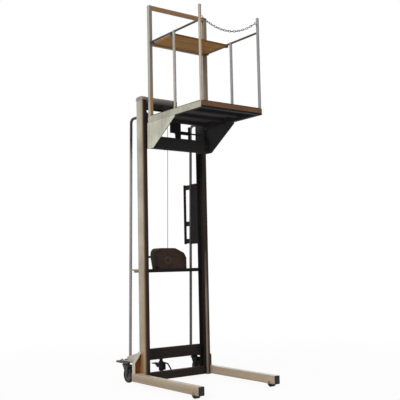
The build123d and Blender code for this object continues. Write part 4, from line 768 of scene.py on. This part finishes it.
def runPath():
    start = Vector((0.0, ropeSet["leaveY"], ropeSet["leaveZ"]))
    centre = Vector((0.0, ropeSet["sheaveY"], ropeSet["sheaveZ"]))
    away = start - centre
    touchAngle = math.atan2(away.z, away.y) + math.acos(ropeSet["pitchRadius"] / away.length)
    touch = centre + ropeSet["pitchRadius"] * Vector((0.0, math.cos(touchAngle), math.sin(touchAngle)))
    rise = (touch - start).length
    over = (math.pi - touchAngle) * ropeSet["pitchRadius"]
    fall = ropeSet["sheaveZ"] - ropeSet["fallTop"]
    side = Vector((1.0, 0.0, 0.0))

    def at(s):
        if s < rise:
            along = (touch - start).normalized()
            return start + along * s, along, side
        if s < rise + over:
            angle = touchAngle + (s - rise) / ropeSet["pitchRadius"]
            out = Vector((0.0, math.cos(angle), math.sin(angle)))
            return centre + ropeSet["pitchRadius"] * out, Vector((0.0, -out.z, out.y)), side
        low = ropeSet["sheaveZ"] - (s - rise - over)
        return Vector((0.0, ropeSet["sheaveY"] - ropeSet["pitchRadius"], low)), Vector((0.0, 0.0, -1.0)), side

    return rise + over + fall, at


def windPath():
    turnLength = math.hypot(2 * math.pi * ropeSet["windRadius"], ropeSet["windPitch"])
    wound = ropeSet["turns"] * turnLength
    startY = ropeSet["leaveY"] - ropeSet["turns"] * ropeSet["windPitch"]

    def at(s):
        held = min(max(s - ropeSet["lead"], 0.0), wound)
        angle = 2 * math.pi * held / turnLength
        out = Vector((math.cos(angle), 0.0, math.sin(angle)))
        climb = ropeSet["windPitch"] / (2 * math.pi * ropeSet["windRadius"])
        along = Vector((-out.z, climb, out.x)).normalized()
        moved = startY + ropeSet["windPitch"] * held / turnLength
        point = Vector((ropeSet["drumX"], moved, ropeSet["drumZ"]))
        point += ropeSet["windRadius"] * out + along * (s - ropeSet["lead"] - held)
        return point, along, out

    return wound + 2 * ropeSet["lead"], at


def layStrands(length, at, shift):
    bm = strandBundle(length)
    for vert in bm.verts:
        point, along, side = at(vert.co.z)
        vert.co = point + shift + side * vert.co.x + along.cross(side) * vert.co.y
    return bm


def makeRope():
    length, at = runPath()
    bm = layStrands(length, at, Vector((ropeSet["x"], mastY, 0.0)))
    run = newPiece("ropeStrandsRun", bm, ropeSteel, "base")
    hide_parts("rope_run")
    woundLength, woundAt = windPath()
    bm = layStrands(woundLength, woundAt, Vector((0.0, mastY, 0.0)))
    wound = newPiece("ropeStrandsWound", bm, ropeSteel, "drum")
    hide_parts("rope_winding")
    top, end = ropeSet["fallTop"] - ropeSet["fallGap"], ropeSet["fallEnd"]
    bm = strandBundle(top - end)
    fallY = ropeSet["sheaveY"] - ropeSet["pitchRadius"]
    bmesh.ops.translate(bm, verts=bm.verts[:], vec=(ropeSet["x"], fallY + mastY, end))
    fall = newPiece("ropeStrandsFall", bm, ropeSteel, None)
    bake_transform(fall)
    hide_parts("rope_fall")
    print("rope laid:", round(length, 3), "m run and", round(woundLength, 3), "m wound")


makeRope()


# caster tyres on pressed hubs, drawn as half sections (radius, across)

casterSet = {
    "across": {"left": -0.415, "right": 0.415}, "behind": 0.265, "height": 0.075, "steps": 56, "merge": 1e-6,
    "tyre": [(0.0575, 0.014), (0.0600, 0.0168), (0.0655, 0.018), (0.0705, 0.0168), (0.0738, 0.012),
             (0.0750, 0.004)],
    "hub": [(0.0062, 0.021), (0.0140, 0.021), (0.0168, 0.0192), (0.0190, 0.013), (0.0300, 0.0098),
            (0.0480, 0.0102), (0.0535, 0.0132), (0.0580, 0.0144)],
}


def spunPiece(name, halfSection, place, material, body):
    bm = bmesh.new()
    section = halfSection + [(radius, -across) for radius, across in reversed(halfSection)]
    verts = [bm.verts.new((across, 0.0, radius)) for radius, across in section]
    edges = [bm.edges.new((verts[k], verts[(k + 1) % len(verts)])) for k in range(len(verts))]
    bmesh.ops.spin(bm, geom=verts + edges, cent=(0, 0, 0), axis=(1, 0, 0), angle=2 * math.pi,
                   steps=casterSet["steps"], use_merge=True)
    bmesh.ops.remove_doubles(bm, verts=bm.verts[:], dist=casterSet["merge"])
    bmesh.ops.translate(bm, verts=bm.verts[:], vec=place)
    made = newPiece(name, bm, material, body)
    for face in made.data.polygons:
        face.use_smooth = True
    return made


def makeCasters():
    for side, across in casterSet["across"].items():
        place = (across, mastY + casterSet["behind"], casterSet["height"])
        body = "caster_wheel_" + side
        tyre = spunPiece("casterTyre_" + side, casterSet["tyre"], place, tyreRubber, body)
        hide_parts(body)
        spunPiece("casterHub_" + side, casterSet["hub"], place, hubSteel, body)
    print("caster tyres spun:", len(casterSet["across"]))


makeCasters()


# bolts: place, direction and width across the flats

bothSides = (-1, 1)
boltShape = {"washer": 0.12, "washerFoot": 0.95, "washerTop": 0.90, "washerSides": 20, "head": 0.55,
             "crown": 0.9, "chamfer": 0.08}  # shares of the width, and crown of the head's height
boltSet = {
    "baseBolts": {"body": "base", "finish": platedSteel, "slot": "plated_steel", "bolts": [
        # tube ties, then caster plates
        *[((side * 0.347, mastY + 0.2360, 1.076), (0, 1, 0), 0.013) for side in bothSides],
        *[((side * x, mastY + y, 0.2130), (0, 0, 1), 0.016) for side in bothSides
          for x, y in ((0.435, 0.150), (0.405, 0.150), (0.435, 0.355))]]},
    "railBolts": {"body": "base", "finish": darkPaint, "slot": "dark_paint", "bolts": [
        # hood flange, grip panel, then the lower frame's rail
        *[((side * 0.150, mastY + 0.0950, 1.106), (0, -1, 0), 0.010) for side in bothSides],
        *[((0.3710, mastY + 0.135, z), (1, 0, 0), 0.013) for z in (1.390, 1.660, 1.930)],
        *[((side * 0.300, mastY + 0.0920, z), (0, -1, 0), 0.018) for side in bothSides
          for z in (0.248, 0.294)]]},
    "platformBolts": {"body": "platform", "finish": darkPaint, "slot": "dark_paint", "bolts": [
        # carriage beam
        *[((side * 0.310, mastY - 0.0970, z), (0, -1, 0), 0.018) for side in bothSides
          for z in (2.285, 2.345)]]},
}


def addBolt(bm, place, direction, width):
    turn = Vector((0, 0, 1)).rotation_difference(Vector(direction)).to_matrix().to_4x4()
    base = Matrix.Translation(place) @ turn
    washer, head = boltShape["washer"] * width, boltShape["head"] * width
    bmesh.ops.create_cone(bm, cap_ends=True, segments=boltShape["washerSides"],
                          radius1=boltShape["washerFoot"] * width, radius2=boltShape["washerTop"] * width,
                          depth=washer, matrix=base @ Matrix.Translation((0, 0, washer / 2)))
    corner = width / math.sqrt(3.0)
    made = bmesh.ops.create_cone(bm, cap_ends=True, segments=6, radius1=corner, radius2=corner, depth=head,
                                 matrix=base @ Matrix.Translation((0, 0, washer + head / 2)))
    crownFoot = washer + boltShape["crown"] * head
    crown = [vert for vert in made["verts"] if (base.inverted() @ vert.co).z > crownFoot]
    rim = [edge for edge in bm.edges if all(vert in crown for vert in edge.verts)]
    bmesh.ops.bevel(bm, geom=rim, offset=boltShape["chamfer"] * width, affect="EDGES", segments=2,
                    profile=0.5, material=-1)


def makeBolts():
    for name, group in boltSet.items():
        bm = bmesh.new()
        for place, direction, width in group["bolts"]:
            addBolt(bm, place, direction, width)
        newPiece(name, bm, group["finish"], group["body"])
    print("bolts set:", sum(len(group["bolts"]) for group in boltSet.values()))


makeBolts()


# weld beads: rippled runs from one place to another

beadSet = {
    "radius": 0.0040, "ripple": 0.84, "step": 0.0035, "sides": 8, "runs": {
        "bracketWelds": {"body": "base", "finish": legBracketPaint, "slot": "cream_paint", "lines": [
            # up the upright, along the leg, then along and across the caster plate
            line for side in bothSides for line in (
                ((side * 0.3853, mastY + 0.1142, 0.107), (side * 0.3853, mastY + 0.1142, 0.293)),
                ((side * 0.3880, mastY + 0.1142, 0.1068), (side * 0.4530, mastY + 0.1142, 0.1068)),
                ((side * 0.3935, mastY + 0.1300, 0.2135), (side * 0.3935, mastY + 0.3280, 0.2135)),
                ((side * 0.3970, mastY + 0.1275, 0.2135), (side * 0.4460, mastY + 0.1275, 0.2135)))]},
        "carriageWelds": {"body": "platform", "finish": darkPaint, "slot": "dark_paint", "lines": [
            ((side * 0.3475, mastY - 0.0973, 2.260), (side * 0.3475, mastY - 0.0973, 2.375))
            for side in bothSides]},
    },
}


def addBead(bm, start, end):
    start = Vector(start)
    along = Vector(end) - start
    turn = Vector((0, 0, 1)).rotation_difference(along).to_matrix().to_4x4()
    ring = bmesh.ops.create_circle(bm, cap_ends=True, segments=beadSet["sides"], radius=beadSet["radius"],
                                   matrix=Matrix.Translation(start) @ turn)["verts"]
    edges = list({edge for vert in ring for edge in vert.link_edges})
    steps = 2 * round(along.length / (2 * beadSet["step"]))
    for k in range(1, steps + 1):
        made = bmesh.ops.extrude_edge_only(bm, edges=edges)["geom"]
        verts = [item for item in made if isinstance(item, bmesh.types.BMVert)]
        edges = [item for item in made if isinstance(item, bmesh.types.BMEdge)
                 and all(vert in verts for vert in item.verts)]
        bmesh.ops.translate(bm, verts=verts, vec=along / steps)
        grow = beadSet["ripple"] if k % 2 else 1 / beadSet["ripple"]
        bmesh.ops.scale(bm, verts=verts, vec=(grow, grow, grow),
                        space=Matrix.Translation(-(start + along * k / steps)))
    bmesh.ops.contextual_create(bm, geom=edges)


def makeBeads():
    for name, run in beadSet["runs"].items():
        bm = bmesh.new()
        for start, end in run["lines"]:
            addBead(bm, start, end)
        made = newPiece(name, bm, run["finish"], run["body"])
        for face in made.data.polygons:
            face.use_smooth = True
    print("weld beads run:", sum(len(run["lines"]) for run in beadSet["runs"].values()))


makeBeads()
